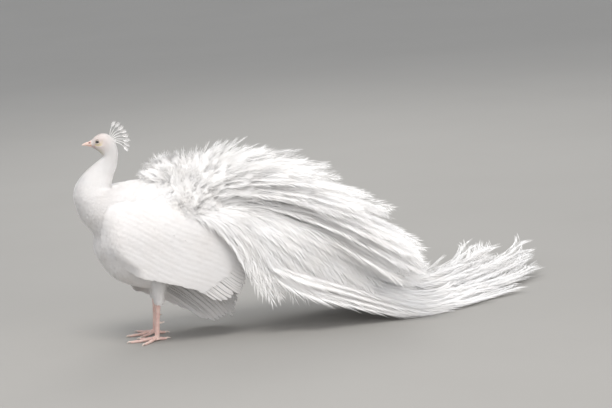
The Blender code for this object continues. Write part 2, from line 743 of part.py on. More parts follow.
def fan_feather(row, share, paint, chance):
    """A raised train feather: its row from the front, and its share across from -1, right, to 1, left."""
    reach, top, low, splay, count = FAN_ROWS[row]
    clock = FAN_CLOCK * share
    lift = radians(low + (top - low) * cos(clock))
    swing = radians(splay) * sin(clock)
    way = Vector((cos(swing) * cos(lift), -sin(swing), cos(swing) * sin(lift)))
    root_u = TORSO_END + 0.35 + (FAN_END - TORSO_END - 0.60) * row / (len(FAN_ROWS) - 1)
    root_angle = FAN_ROOT_ARC * share
    skin = body_point(root_u, root_angle)
    outward = body_normal(root_u, root_angle)
    start = skin - outward * ROOT_DEPTH + Vector((0.006, 0.0, 0.0))
    tip = TRAIN_CENTRE + way * reach * chance.uniform(0.94, 1.04)
    chord = tip - skin
    lateral = Vector((0.0, chord.y, 0.0))
    over = Vector((0.0, 0.0, 1.0)) - chord.normalized() * chord.normalized().z
    lead = skin + outward * 0.006 + chord.normalized() * 0.014
    middle = skin + chord * 0.5 + over * 0.10 * chord.length - lateral * 0.10
    points = 4 if reach < 0.3 else 5
    path = [along([start, lead, middle, tip], k / (points - 1)) for k in range(points)]
    face = Vector((-sin(lift) * cos(swing), -sin(clock), cos(lift) + 0.2)).normalized()
    room = 0.72 * reach * radians(splay) / (count - 0.5)
    widest = min(FAN_WIDTH, room * 0.95)
    widths = feather_widths(points, 0.0045, widest, 0.70, widest * 0.55)
    widths = [min(width, 2 * (abs(at.y) - GAP)) for at, width in zip(path, widths)]
    return vane(path, [face] * points, widths, paint["plumage"])


def make_fan(side, word, paint, chance):
    """One half of the raised part of the train, on the side of the rump that it grows from."""
    first, last = (0, SIDE_STEPS) if side < 0 else (BODY_SIDES - SIDE_STEPS, BODY_SIDES)
    base = trunk_wedge(f"train_{word}", "fan_base", first, last, paint["plumage"])
    feathers = []
    for row, (_, _, _, _, count) in enumerate(FAN_ROWS):
        first = FAN_FIRST[row % 2]
        for k in range(count):
            feathers.append(fan_feather(row, -side * (k + first) / (count - 1 + first), paint, chance))
    join(base, feathers)
    return base


def long_way(lateral, layer):
    """The full way of a long train feather: its place across from -1, left, to 1, and its layer."""
    root_u = RUMP_END - 0.35 - 0.28 * layer
    root_angle = -lateral * LONG_ROOT_ARC
    skin = body_point(root_u, root_angle)
    outward = body_normal(root_u, root_angle)
    arch = 1 - abs(lateral) ** 1.4
    near, far = max(0.0, -lateral), max(0.0, lateral)
    return [
        skin - outward * ROOT_DEPTH,
        skin + outward * 0.006 + Vector((0.014, 0.0, 0.0)),
        Vector((0.400, 0.170 * lateral, 0.150 + 0.125 * arch + 0.012 * layer)),
        Vector((0.600, 0.165 * lateral, 0.060 + 0.100 * arch + 0.012 * layer)),
        Vector((0.840, 0.020 + 0.155 * lateral, 0.030 * arch * layer)),
        Vector((1.070, 0.170 + 0.180 * lateral, 0.024 * arch * layer)),
        TRAIN_END + TRAIN_END_NEAR * near + TRAIN_END_FAR * far,
    ]


def long_feather(lateral, layer, share, paint):
    """A long train feather, lying along the sheet that its neighbours form and kept off the floor."""
    path, beside, lows = [], [], []
    for k in range(LONG_POINTS):
        t = share * k / (LONG_POINTS - 1)
        at = along(long_way(lateral, layer), t)
        lowest = VANE_THICK / 2 - FLOOR_TRIM
        rise = LAYER_STEP * layer * min(1.0, k / 3)
        at.z = max(at.z, lowest) + rise
        path.append(at)
        lows.append(lowest + rise)
        beside.append(along(long_way(lateral + 0.05, layer), t) - along(long_way(lateral - 0.05, layer), t))
    widths = feather_widths(LONG_POINTS, 0.0050, LONG_WIDTH, 0.75, 0.018)
    normals = []
    for k, (at, across, width, low) in enumerate(zip(path, beside, widths, lows)):
        forward = (path[min(LONG_POINTS - 1, k + 1)] - path[max(0, k - 1)]).normalized()
        side = (across - forward * across.dot(forward)).normalized()
        steepest = (at.z - low) / (width / 2)
        if abs(side.z) > steepest:
            side.z = steepest if side.z > 0 else -steepest
        normals.append(forward.cross(side).normalized())
    return vane(path, normals, widths, paint["plumage"])


def make_long(paint, chance):
    """The long feathers that trail along the floor, on the rear of the rump."""
    base = trunk_wedge("train_long", "rear_base", -SIDE_STEPS, SIDE_STEPS, paint["plumage"])
    feathers = []
    for layer in range(LONG_ROWS):
        for k in range(LONG_ACROSS):
            lateral = 2 * (k + 0.25 * layer) / (LONG_ACROSS - 0.5) - 1
            share = (1.0, 0.90, 0.78)[layer] * chance.uniform(0.95, 1.0)
            feathers.append(long_feather(lateral, layer + 0.5 * (k % 2), share, paint))
    join(base, feathers)
    cut(base, [block((1.0, 0.0, -0.05), (3.0, 3.0, 0.1))])
    return base


def make_tail(paint):
    """The stiff tail feathers under the train, each a step below the last, and the rump under them."""
    last = BODY_SIDES - SIDE_STEPS
    front = trunk_wedge("vent", "fan_base", SIDE_STEPS, last, paint["plumage"])
    base = trunk_wedge("tail", "rear_base", SIDE_STEPS, last, paint["plumage"])
    feathers = []
    for rank in range(TAIL_COUNT):
        out = (rank // 2 + 0.5) * (1 if rank % 2 else -1) / (TAIL_COUNT / 2)
        yaw = radians(15) * out
        root = Vector((0.205, 0.030 * out, 0.288 - 0.0014 * rank))
        way = Vector((cos(yaw) * 0.93, sin(yaw), -0.36)).normalized()
        length = TAIL_LENGTH * (1 - 0.12 * out * out)
        shares = (0.0, 0.15, 0.45, 0.75, 1.0)
        path = [root + way * length * s + Vector((0, 0, 0.012 * sin(pi * s))) for s in shares]
        widths = feather_widths(5, 0.0050, 0.030, 0.7, 0.018)
        feathers.append(vane(path, [Vector((0, 0, 1))] * 5, widths, paint["plumage"]))
    join(base, feathers)
    return front, base


def centre_on_floor():
    """Moves everything so that the origin is under the middle of the bounding box."""
    solids = [o for o in bpy.context.scene.objects if o.type == "MESH"]
    corners = [o.matrix_world @ v.co for o in solids for v in o.data.vertices]
    low = Vector(min(c[k] for c in corners) for k in range(3))
    high = Vector(max(c[k] for c in corners) for k in range(3))
    shift = Vector((-(low.x + high.x) / 2, -(low.y + high.y) / 2, -low.z))
    move = Matrix.Translation(shift)
    for solid in solids:
        solid.data.transform(move @ solid.matrix_world)
        solid.matrix_world = Matrix.Identity(4)
        solid.data.shade_smooth()
        solid.data.set_sharp_from_angle(angle=radians(40))
    return shift


def main():
    clear_scene()
    chance = random.Random(TRAIN_SEED)
    paint = {
        "plumage": make_material("plumage", (0.93, 0.92, 0.90), 0.75),
        "horn": make_material("horn", (0.87, 0.72, 0.64), 0.40),
        "eye": make_material("eye", (0.05, 0.03, 0.03), 0.10),
        "leg": make_material("leg", (0.82, 0.62, 0.55), 0.55),
    }
    make_head(paint, chance)
    make_bill(paint)
    for name in ("neck", "neck_base", "breast", "torso"):
        trunk_piece(name, paint["plumage"])
    make_fan(-1, "left", paint, chance)
    make_fan(1, "right", paint, chance)
    make_long(paint, chance)
    make_tail(paint)
    make_wing(-1, "left", paint, 0.0)
    make_wing(1, "right", paint, FAR_WING_DROP)
    make_leg(-1, "left", paint)
    make_leg(1, "right", paint)
    return centre_on_floor()


SHIFT = main()
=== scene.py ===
import json
import math
import bpy
import numpy as np
from mathutils import Matrix, Vector


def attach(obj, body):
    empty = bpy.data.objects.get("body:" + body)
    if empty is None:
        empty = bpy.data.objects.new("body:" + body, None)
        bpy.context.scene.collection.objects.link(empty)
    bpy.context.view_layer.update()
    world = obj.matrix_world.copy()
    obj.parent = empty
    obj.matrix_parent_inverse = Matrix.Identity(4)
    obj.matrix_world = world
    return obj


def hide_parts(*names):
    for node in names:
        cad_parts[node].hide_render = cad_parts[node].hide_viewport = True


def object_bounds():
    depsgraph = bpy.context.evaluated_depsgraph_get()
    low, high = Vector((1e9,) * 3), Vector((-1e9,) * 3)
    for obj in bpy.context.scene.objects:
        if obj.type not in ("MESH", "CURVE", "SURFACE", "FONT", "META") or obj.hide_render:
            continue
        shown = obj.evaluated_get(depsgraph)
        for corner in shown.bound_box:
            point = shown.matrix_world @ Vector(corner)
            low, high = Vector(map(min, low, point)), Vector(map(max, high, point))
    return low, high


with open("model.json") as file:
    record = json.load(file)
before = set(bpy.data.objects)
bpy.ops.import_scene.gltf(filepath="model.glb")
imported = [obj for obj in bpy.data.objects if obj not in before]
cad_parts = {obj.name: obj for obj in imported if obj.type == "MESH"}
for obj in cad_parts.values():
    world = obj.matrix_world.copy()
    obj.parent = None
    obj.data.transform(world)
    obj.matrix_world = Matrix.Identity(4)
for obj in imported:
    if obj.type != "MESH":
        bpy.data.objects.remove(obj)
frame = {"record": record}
cadLow, cadHigh = [np.array(corner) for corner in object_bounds()]
print("frame loaded")

# the solids' mount says where the bird's feet are; its own floor point lies between them
leftSole = frame["record"]["mounts"][0]["pos_m"]
birdFoot = np.array([leftSole[0], leftSole[1] + 0.052, 0.0])


# small helpers

def deselectAll():
    for obj in bpy.context.selected_objects:
        obj.select_set(False)


def unit(v):
    return v / np.maximum(np.linalg.norm(v, axis=-1, keepdims=True), 1e-9)


def squareTo(v, axis):
    # what is left of v without its share along the axis
    return v - axis * np.sum(v * axis, -1, keepdims=True)


def softStep(x):
    return x * x * (3 - 2 * x)


def sideWord(side):
    return "Left" if side < 0 else "Right"


def straight(start, end):
    return np.asarray(start) + (np.asarray(end) - np.asarray(start)) * np.linspace(0, 1, 12)[:, None]


def curveThrough(rows, u):
    # smooth curve through the rows, read at u, which counts them from 0
    rows = np.asarray(rows, float)
    last = rows.shape[-2] - 1
    u = np.clip(np.asarray(u, float), 0, last)
    i = np.minimum(u.astype(int), last - 1)
    t = (u - i)[..., None]
    a, b = rows[..., i, :], rows[..., i + 1, :]
    before, after = rows[..., np.maximum(i - 1, 0), :], rows[..., np.minimum(i + 2, last), :]
    smooth = a * (2 * t**3 - 3 * t**2 + 1) + b * (3 * t**2 - 2 * t**3)
    return smooth + (b - before) * 0.5 * (t**3 - 2 * t**2 + t) + (after - a) * 0.5 * (t**3 - t**2)


def keepInside(points, floorGap=0.0004):
    # nothing reaches past the solids' box or into the floor
    low = cadLow + (0.0003, 0.0003, floorGap)
    return np.clip(points, low, cadHigh - 0.0003)


def meshFromArrays(name, points, tris, material, bakeUv=None, featherUv=None):
    # one mesh from plain arrays; a UV is given for each point
    points = keepInside(points)
    mesh = bpy.data.meshes.new(name)
    mesh.vertices.add(len(points))
    mesh.vertices.foreach_set("co", np.ascontiguousarray(points, np.float32).ravel())
    mesh.loops.add(tris.size)
    mesh.loops.foreach_set("vertex_index", np.ascontiguousarray(tris, np.int32).ravel())
    mesh.polygons.add(len(tris))
    mesh.polygons.foreach_set("loop_start", np.arange(0, tris.size, 3, dtype=np.int32))
    mesh.polygons.foreach_set("use_smooth", np.ones(len(tris), bool))
    for uvName, uv in (("OFBake", bakeUv), ("featherMap", featherUv)):
        if uv is not None:
            layer = mesh.uv_layers.new(name=uvName)
            layer.data.foreach_set("uv", np.ascontiguousarray(uv[tris.ravel()], np.float32).ravel())
    mesh.update(calc_edges=True)
    mesh.materials.append(material)
    piece = bpy.data.objects.new(name, mesh)
    bpy.context.scene.collection.objects.link(piece)
    print(" ", name, len(tris), "triangles")
    return piece


def makeActive(piece):
    deselectAll()
    piece.select_set(True)
    bpy.context.view_layer.objects.active = piece


def turnOutwards():
    # the active piece's faces point out and shade smoothly
    bpy.ops.object.mode_set(mode="EDIT")
    bpy.ops.mesh.select_all(action="SELECT")
    bpy.ops.mesh.normals_make_consistent(inside=False)
    bpy.ops.object.mode_set(mode="OBJECT")
    bpy.ops.object.shade_smooth()


def roundPiece(name, around, rings, placeAt, material):
    # a UV sphere whose points are moved: t runs from one pole to the other, turn goes round
    deselectAll()
    bpy.ops.mesh.primitive_uv_sphere_add(segments=around, ring_count=rings, radius=1.0, location=(0, 0, 0))
    piece = bpy.context.object
    piece.name = piece.data.name = name
    co = np.empty(len(piece.data.vertices) * 3, np.float32)
    piece.data.vertices.foreach_get("co", co)
    co = co.reshape(-1, 3).astype(float)
    t = np.arccos(np.clip(co[:, 2], -1, 1)) / math.pi
    places = keepInside(placeAt(t, np.arctan2(co[:, 1], co[:, 0]), np.abs(co[:, 2]) > 0.99999), 0.0002)
    piece.data.vertices.foreach_set("co", np.ascontiguousarray(places, np.float32).ravel())
    turnOutwards()
    piece.data.materials.append(material)
    return piece


def limb(name, path, deep, wide, fore, material, around, rings, relief=None):
    # a round piece along a path; fore is the way that its depth is measured
    path = np.asarray(path, float)
    fore = np.asarray(fore, float)

    def placeAt(t, turn, pole):
        s = np.clip((t * rings - 1) / (rings - 2), 0, 1)
        at = curveThrough(path, s * (len(path) - 1))
        ahead = unit(curveThrough(path, np.minimum(s + 0.01, 1) * (len(path) - 1))
                     - curveThrough(path, np.maximum(s - 0.01, 0) * (len(path) - 1)))
        foreWay = unit(squareTo(fore, ahead))
        across = np.cross(ahead, foreWay)
        grow = relief(s, turn) if relief else 0.0
        out = foreWay * ((deep(s) + grow) * np.cos(turn))[:, None]
        out = out + across * ((wide(s) + grow) * np.sin(turn))[:, None]
        return at + out * (~pole)[:, None]

    return roundPiece(name, around, rings, placeAt, material)


def tableCurve(table, column):
    rows = np.array(table)
    return lambda s: np.interp(s, rows[:, 0], rows[:, column])


# shader groups

def newGroup(name, ins, outs):
    group = bpy.data.node_groups.new(name, "ShaderNodeTree")
    for label, kind, value in ins:
        group.interface.new_socket(name=label, in_out="INPUT", socket_type=kind).default_value = value
    for label, kind in outs:
        group.interface.new_socket(name=label, in_out="OUTPUT", socket_type=kind)
    return group, group.nodes.new("NodeGroupInput"), group.nodes.new("NodeGroupOutput")


def mathNode(nodes, operation, values=None, clamp=False):
    node = nodes.new("ShaderNodeMath")
    node.operation = operation
    node.use_clamp = clamp
    for index, value in (values or {}).items():
        node.inputs[index].default_value = value
    return node


def makeCloudTint():
    # two colours mixed by soft clouds of a given size in object space
    group, ins, outs = newGroup(
        "cloudTint",
        (("Light", "NodeSocketColor", (1, 1, 1, 1)), ("Shade", "NodeSocketColor", (1, 1, 1, 1)),
         ("Scale", "NodeSocketFloat", 20.0), ("Contrast", "NodeSocketFloat", 1.0)),
        (("Color", "NodeSocketColor"),))
    nodes, links = group.nodes, group.links
    coord = nodes.new("ShaderNodeTexCoord")
    noise = nodes.new("ShaderNodeTexNoise")
    noise.inputs["Detail"].default_value = 4.0
    links.new(coord.outputs["Object"], noise.inputs["Vector"])
    links.new(ins.outputs["Scale"], noise.inputs["Scale"])
    centred = mathNode(nodes, "SUBTRACT", {1: 0.5})
    links.new(noise.outputs["Fac"], centred.inputs[0])
    scaled = mathNode(nodes, "MULTIPLY_ADD", {2: 0.5}, clamp=True)
    links.new(centred.outputs[0], scaled.inputs[0])
    links.new(ins.outputs["Contrast"], scaled.inputs[1])
    mix = nodes.new("ShaderNodeMix")
    mix.data_type = "RGBA"
    links.new(scaled.outputs[0], mix.inputs[0])
    links.new(ins.outputs["Light"], mix.inputs[6])
    links.new(ins.outputs["Shade"], mix.inputs[7])
    links.new(mix.outputs[2], outs.inputs["Color"])
    return group


def makeSpotMask():
    # a soft oval patch round a point of object space, with a broken edge
    group, ins, outs = newGroup(
        "spotMask",
        (("Centre", "NodeSocketVector", (0, 0, 0)), ("Squeeze", "NodeSocketVector", (1, 1, 1)),
         ("Radius", "NodeSocketFloat", 0.01), ("Soft", "NodeSocketFloat", 0.3),
         ("Ragged", "NodeSocketFloat", 0.2)),
        (("Mask", "NodeSocketFloat"),))
    nodes, links = group.nodes, group.links
    coord = nodes.new("ShaderNodeTexCoord")
    away = nodes.new("ShaderNodeVectorMath")
    away.operation = "SUBTRACT"
    links.new(coord.outputs["Object"], away.inputs[0])
    links.new(ins.outputs["Centre"], away.inputs[1])
    squeezed = nodes.new("ShaderNodeVectorMath")
    squeezed.operation = "MULTIPLY"
    links.new(away.outputs[0], squeezed.inputs[0])
    links.new(ins.outputs["Squeeze"], squeezed.inputs[1])
    length = nodes.new("ShaderNodeVectorMath")
    length.operation = "LENGTH"
    links.new(squeezed.outputs[0], length.inputs[0])
    share = mathNode(nodes, "DIVIDE")
    links.new(length.outputs["Value"], share.inputs[0])
    links.new(ins.outputs["Radius"], share.inputs[1])
    noise = nodes.new("ShaderNodeTexNoise")
    noise.inputs["Scale"].default_value = 700.0
    links.new(coord.outputs["Object"], noise.inputs["Vector"])
    centred = mathNode(nodes, "SUBTRACT", {1: 0.5})
    links.new(noise.outputs["Fac"], centred.inputs[0])
    ragged = mathNode(nodes, "MULTIPLY_ADD")
    links.new(centred.outputs[0], ragged.inputs[0])
    links.new(ins.outputs["Ragged"], ragged.inputs[1])
    links.new(share.outputs[0], ragged.inputs[2])
    edge = mathNode(nodes, "SUBTRACT", {0: 1.0})
    links.new(ragged.outputs[0], edge.inputs[1])
    mask = mathNode(nodes, "DIVIDE", clamp=True)
    links.new(edge.outputs[0], mask.inputs[0])
    links.new(ins.outputs["Soft"], mask.inputs[1])
    links.new(mask.outputs[0], outs.inputs["Mask"])
    return group


cloudTint = makeCloudTint()
spotMask = makeSpotMask()


# materials

def tintSpot(at, radius, soft, ragged, colour, squeeze=(1, 1, 1)):
    return {"at": at, "radius": radius, "soft": soft, "ragged": ragged, "colour": colour, "squeeze": squeeze}


def makeMaterial(name, look):
    # light and shade colour in clouds, patches of other colours, fine bump and the settings of one finish
    material = bpy.data.materials.new(name)
    material.use_nodes = True
    nodes, links = material.node_tree.nodes, material.node_tree.links
    shader = nodes["Principled BSDF"]
    tint = nodes.new("ShaderNodeGroup")
    tint.node_tree = cloudTint
    tint.inputs["Light"].default_value = (*look["light"], 1)
    tint.inputs["Shade"].default_value = (*look["shade"], 1)
    tint.inputs["Scale"].default_value = look["cloudScale"]
    tint.inputs["Contrast"].default_value = look["contrast"]
    colour = tint.outputs["Color"]
    for spot in look.get("spots", ()):
        mask = nodes.new("ShaderNodeGroup")
        mask.node_tree = spotMask
        mask.inputs["Centre"].default_value = tuple(spot["at"])
        mask.inputs["Squeeze"].default_value = spot["squeeze"]
        mask.inputs["Radius"].default_value = spot["radius"]
        mask.inputs["Soft"].default_value = spot["soft"]
        mask.inputs["Ragged"].default_value = spot["ragged"]
        mix = nodes.new("ShaderNodeMix")
        mix.data_type = "RGBA"
        mix.inputs[7].default_value = (*spot["colour"], 1)
        links.new(mask.outputs["Mask"], mix.inputs[0])
        links.new(colour, mix.inputs[6])
        colour = mix.outputs[2]
    links.new(colour, shader.inputs["Base Color"])
    shader.inputs["Roughness"].default_value = look["roughness"]
    shader.inputs["Specular IOR Level"].default_value = look["specular"]
    shader.inputs["Coat Weight"].default_value = look.get("coat", 0.0)
    shader.inputs["Coat Roughness"].default_value = 0.03
    if look.get("sheen"):
        shader.inputs["Sheen Weight"].default_value = look["sheen"]
        shader.inputs["Sheen Roughness"].default_value = 0.5
    if look.get("glow"):
        shader.inputs["Subsurface Weight"].default_value = look["glow"]
        shader.inputs["Subsurface Radius"].default_value = (0.004, 0.0025, 0.002)
        shader.inputs["Subsurface Scale"].default_value = 1.0
    if look.get("bumpScale"):
        coord = nodes.new("ShaderNodeTexCoord")
        noise = nodes.new("ShaderNodeTexNoise")
        noise.inputs["Scale"].default_value = look["bumpScale"]
        noise.inputs["Detail"].default_value = 3.0
        links.new(coord.outputs["Object"], noise.inputs["Vector"])
        bump = nodes.new("ShaderNodeBump")
        bump.inputs["Strength"].default_value = look["bumpStrength"]
        bump.inputs["Distance"].default_value = look["bumpDepth"]
        links.new(noise.outputs["Fac"], bump.inputs["Height"])
        links.new(bump.outputs["Normal"], shader.inputs["Normal"])
    return material


plumageLook = {
    "light": (0.920, 0.908, 0.900), "shade": (0.90, 0.875, 0.855), "cloudScale": 14.0, "contrast": 2.2,
    "roughness": 0.72, "specular": 0.22, "sheen": 0.10,
}
# a breath of pink over the head's short down
headTints = (
    tintSpot((-0.741, -0.125, 0.640), 0.044, 0.7, 0.6, (0.85, 0.76, 0.725)),
    tintSpot((-0.7435, -0.128, 0.607), 0.019, 0.9, 0.8, (0.82, 0.77, 0.66)),
    tintSpot((-0.7595, -0.126, 0.627), 0.007, 0.8, 1.5, (0.76, 0.56, 0.53)),
)
whitePlumage = makeMaterial("whitePlumage", dict(plumageLook, spots=headTints))
# the raised and trailing plumes are painted paler than the body's plumage: painted light for the light that
# comes through them where their barbs shade each other
silkPlumage = makeMaterial("silkPlumage", dict(
    plumageLook, light=(0.99, 0.985, 0.98), shade=(0.975, 0.96, 0.94), sheen=0.2))


def makeVaneMaterial(name, look):
    # a stiff feather: barbs slant off the shaft as fine ridges, read from the piece's own featherMap
    material = makeMaterial(name, look)
    nodes, links = material.node_tree.nodes, material.node_tree.links
    shader = nodes["Principled BSDF"]
    uv = nodes.new("ShaderNodeUVMap")
    uv.uv_map = "featherMap"
    parts = nodes.new("ShaderNodeSeparateXYZ")
    links.new(uv.outputs["UV"], parts.inputs["Vector"])
    across = mathNode(nodes, "ABSOLUTE")
    links.new(parts.outputs["X"], across.inputs[0])
    slant = mathNode(nodes, "MULTIPLY_ADD", {1: -look["barbSlant"]})
    links.new(across.outputs[0], slant.inputs[0])
    links.new(parts.outputs["Y"], slant.inputs[2])
    wave = mathNode(nodes, "MULTIPLY", {1: 2 * math.pi / look["barbPitch"]})
    links.new(slant.outputs[0], wave.inputs[0])
    ridge = mathNode(nodes, "SINE")
    links.new(wave.outputs[0], ridge.inputs[0])
    bump = nodes.new("ShaderNodeBump")
    bump.inputs["Strength"].default_value = look["barbStrength"]
    bump.inputs["Distance"].default_value = 0.0003
    links.new(ridge.outputs[0], bump.inputs["Height"])
    links.new(bump.outputs["Normal"], shader.inputs["Normal"])
    return material


stiffFeather = makeVaneMaterial(
    "stiffWingFeather", dict(plumageLook, barbSlant=1.1, barbPitch=0.0022, barbStrength=0.35))


# the body as stations from bill to tail: dorsal x and z, ventral x and z, half width

body = {
    "stations": (
        (-0.1475, 0.6460, -0.1470, 0.6235, 0.0095),  # bill base
        (-0.1340, 0.6575, -0.1375, 0.6175, 0.0158),
        (-0.1160, 0.6650, -0.1255, 0.6080, 0.0205),  # crown
        (-0.0950, 0.6610, -0.1180, 0.5985, 0.0225),
        (-0.0760, 0.6400, -0.1165, 0.5915, 0.0215),  # nape
        (-0.0675, 0.6050, -0.1230, 0.5840, 0.0210),
        (-0.0735, 0.5640, -0.1460, 0.5690, 0.0240),
        (-0.0870, 0.5300, -0.1740, 0.5490, 0.0310),
        (-0.0945, 0.5090, -0.1980, 0.5250, 0.0430),
        (-0.0965, 0.4985, -0.2120, 0.5000, 0.0560),  # crop
        (-0.0880, 0.4960, -0.2175, 0.4650, 0.0710),
        (-0.0640, 0.4990, -0.2030, 0.4080, 0.0880),
        (-0.0240, 0.5040, -0.1680, 0.3500, 0.1030),
        (0.0150, 0.5050, -0.1600, 0.2850, 0.1140),
        (0.0600, 0.4980, -0.1180, 0.2130, 0.1190),  # belly
        (0.1050, 0.4840, -0.0450, 0.1720, 0.1170),
        (0.1500, 0.4620, 0.0400, 0.1620, 0.1060),
        (0.1930, 0.4310, 0.1180, 0.1900, 0.0880),  # rump
        (0.2300, 0.3900, 0.1820, 0.2400, 0.0640),
        (0.2560, 0.3480, 0.2280, 0.2860, 0.0380),  # tail root
    ),
    "squareness": 2.25,
    "headTurn": math.radians(-12),
    "headPivot": (-0.095, 0.0),
    "turnFrom": 4.5,  # stations between which the head's turn fades out
    "turnTo": 8.0,
    # how deep the skin lies under the plumage, by station
    "coatDepth": ((0, 0.0009), (4, 0.0018), (6, 0.0035), (8, 0.0060), (12, 0.0090), (16, 0.0100),
                  (19, 0.0080)),
}
stationRows = np.array(body["stations"])
lastStation = len(stationRows) - 1


def turnAbout(points, angle, pivot):
    # points turned about an upright axis, by an angle of their own
    x, y = points[..., 0] - pivot[0], points[..., 1] - pivot[1]
    c, s = np.cos(angle), np.sin(angle)
    return np.stack([pivot[0] + x * c - y * s, pivot[1] + x * s + y * c, points[..., 2]], -1)


def turnHead(points):
    # places of the head, given as if it looked straight ahead, in the row's own frame
    return turnAbout(np.asarray(points, float), body["headTurn"], body["headPivot"]) + birdFoot


def turnHeadBack(points):
    return turnAbout(points - birdFoot, -body["headTurn"], body["headPivot"])


def bodyPoint(u, angle, grow=0.0):
    # a point of the body; angle 0 is its back and a quarter turn its left side
    u, angle = np.broadcast_arrays(np.asarray(u, float), np.asarray(angle, float))
    row = curveThrough(stationRows, u)
    zero = np.zeros_like(u)
    dorsal = np.stack([row[..., 0], zero, row[..., 1]], -1)
    ventral = np.stack([row[..., 2], zero, row[..., 3]], -1)
    middle, up = (dorsal + ventral) / 2, dorsal - ventral
    tall = np.linalg.norm(up, axis=-1) / 2 + grow
    c, s = np.cos(angle), np.sin(angle)
    power = 2 / body["squareness"]
    rise = np.abs(c) ** power * np.sign(c)
    out = np.abs(s) ** power * np.sign(s)
    at = middle + unit(up) * (tall * rise)[..., None]
    at[..., 1] -= (row[..., 4] + grow) * out
    share = softStep(np.clip((body["turnTo"] - u) / (body["turnTo"] - body["turnFrom"]), 0, 1))
    return turnAbout(at, body["headTurn"] * share, body["headPivot"]) + birdFoot


def bodyFrame(u, angle, grow=0.0):
    # a place on the body, the way towards the tail there, and the outward normal
    u, angle = np.broadcast_arrays(np.asarray(u, float), np.asarray(angle, float))
    step = 0.02
    inner = np.clip(u, 0.03, lastStation - 0.03)
    back = unit(bodyPoint(inner + step, angle) - bodyPoint(inner - step, angle))
    sideways = unit(bodyPoint(inner, angle + step) - bodyPoint(inner, angle - step))
    normal = unit(np.cross(sideways, back))
    middle = (bodyPoint(inner, 0.0) + bodyPoint(inner, math.pi)) / 2
    flip = np.sign(np.sum(normal * (bodyPoint(inner, angle) - middle), -1, keepdims=True))
    return bodyPoint(u, angle, grow), back, normal * flip


def bodyUv(u, angle):
    # the body's own unwrap: round it and down it
    return np.stack([(angle / (2 * np.pi)) % 1.0, 1 - u / lastStation], -1) * 0.98 + 0.01


coatDepth = tableCurve(body["coatDepth"], 1)


# head: skin of the face, eyes, lids and bill

face = {
    "eye": (-0.1280, 0.0138, 0.6420),
    "eyeRadius": 0.0072,
    "pupil": 0.0026,
    "lidRing": 0.0057,
    "lidWire": 0.0010,
    "lidOut": 0.0053,
    "nostril": (-0.1535, 0.0078, 0.6392),
    "nostrilSize": (0.0034, 0.0019, 0.0016),
    "billTip": (-0.1790, 0.6325),
    # bare patches below and behind the eye: x and z from it, and how far out they lie
    "belowEye": (0.002, -0.0085),
    "behindEye": (0.0130, -0.0015),
    "patchOut": 0.019,
    "gape": (-0.1370, 0.014, 0.6250),
    "skinColour": (0.74, 0.66, 0.44),
    "cheekColour": (0.83, 0.71, 0.55),
    "eyeRimColour": (0.74, 0.62, 0.53),
    "gapeColour": (0.66, 0.38, 0.36),
    "hollow": (0.0030, 0.0060),  # depth and half width
    # height and half widths in x and z of the brow and the fold of the cheek
    "brow": (0.0009, 0.0090, 0.0028),
    "fold": (0.0006, 0.0120, 0.0022),
}


def faceSpots():
    # bare yellowish skin under and behind each eye, pinker along the gape
    spots = []
    x, y, z = face["eye"]
    out = face["patchOut"]
    for side in (-1, 1):
        below = turnHead((x + face["belowEye"][0], side * out, z + face["belowEye"][1]))
        behind = turnHead((x + face["behindEye"][0], side * out, z + face["behindEye"][1]))
        gape = turnHead(np.array(face["gape"]) * (1, side, 1))
        spots += [
            tintSpot(below, 0.0150, 0.40, 0.5, face["skinColour"], (1, 0.5, 1.9)),
            tintSpot(behind, 0.0105, 0.6, 0.7, face["cheekColour"], (1.1, 0.5, 0.9)),
            tintSpot(turnHead((x, side * y, z)), 0.0100, 0.22, 0.3, face["eyeRimColour"]),
            tintSpot(gape, 0.0070, 0.6, 1.4, face["gapeColour"], (0.7, 0.7, 2.2)),
        ]
    return spots


skinUnderDown = makeMaterial("skinUnderDown", {
    "light": (0.88, 0.86, 0.83), "shade": (0.82, 0.79, 0.745), "cloudScale": 30.0, "contrast": 2.0,
    "roughness": 0.7, "specular": 0.25, "bumpScale": 900.0, "bumpStrength": 0.5, "bumpDepth": 0.0006,
    "glow": 0.12, "spots": faceSpots(),
})


def onBareFace(places):
    # where no plumage grows: round the eye, and the patch below and behind it
    local = turnHeadBack(places)
    dx, dz = local[:, 0] - face["eye"][0], local[:, 2] - face["eye"][2]
    (belowX, belowZ), (behindX, behindZ) = face["belowEye"], face["behindEye"]
    ring = dx**2 + dz**2 < 0.0064**2
    below = ((dx - belowX) / 0.0125) ** 2 + ((dz - belowZ) / 0.0048) ** 2 < 1
    behind = ((dx - behindX) / 0.0062) ** 2 + ((dz - behindZ) / 0.0070) ** 2 < 1
    # the down thins out unevenly behind the eye
    thin = behind & (np.sin(local[:, 0] * 9100) + np.sin(local[:, 2] * 8300) < 0.9)
    return (ring | below | thin) & (np.abs(local[:, 1]) > 0.006)


def shapeFace(points):
    # a hollow round each eye, a low brow over it and a fold of cheek below
    local = turnHeadBack(points)
    x, _, z = face["eye"]
    hollowDepth, hollowWidth = face["hollow"]
    browRise, browX, browZ = face["brow"]
    foldRise, foldX, foldZ = face["fold"]
    for side in (-1, 1):
        dx, dz = local[:, 0] - x, local[:, 2] - z
        here = local[:, 1] * side > 0.003
        hollow = np.exp(-(dx**2 + dz**2) / hollowWidth**2)
        brow = np.exp(-((dx + 0.001) / browX) ** 2 - ((dz - 0.0088) / browZ) ** 2)
        fold = np.exp(-((dx - 0.006) / foldX) ** 2 - ((dz + 0.0135) / foldZ) ** 2)
        local[:, 1] += side * here * (browRise * brow + foldRise * fold - hollowDepth * hollow)
    return turnHead(local)


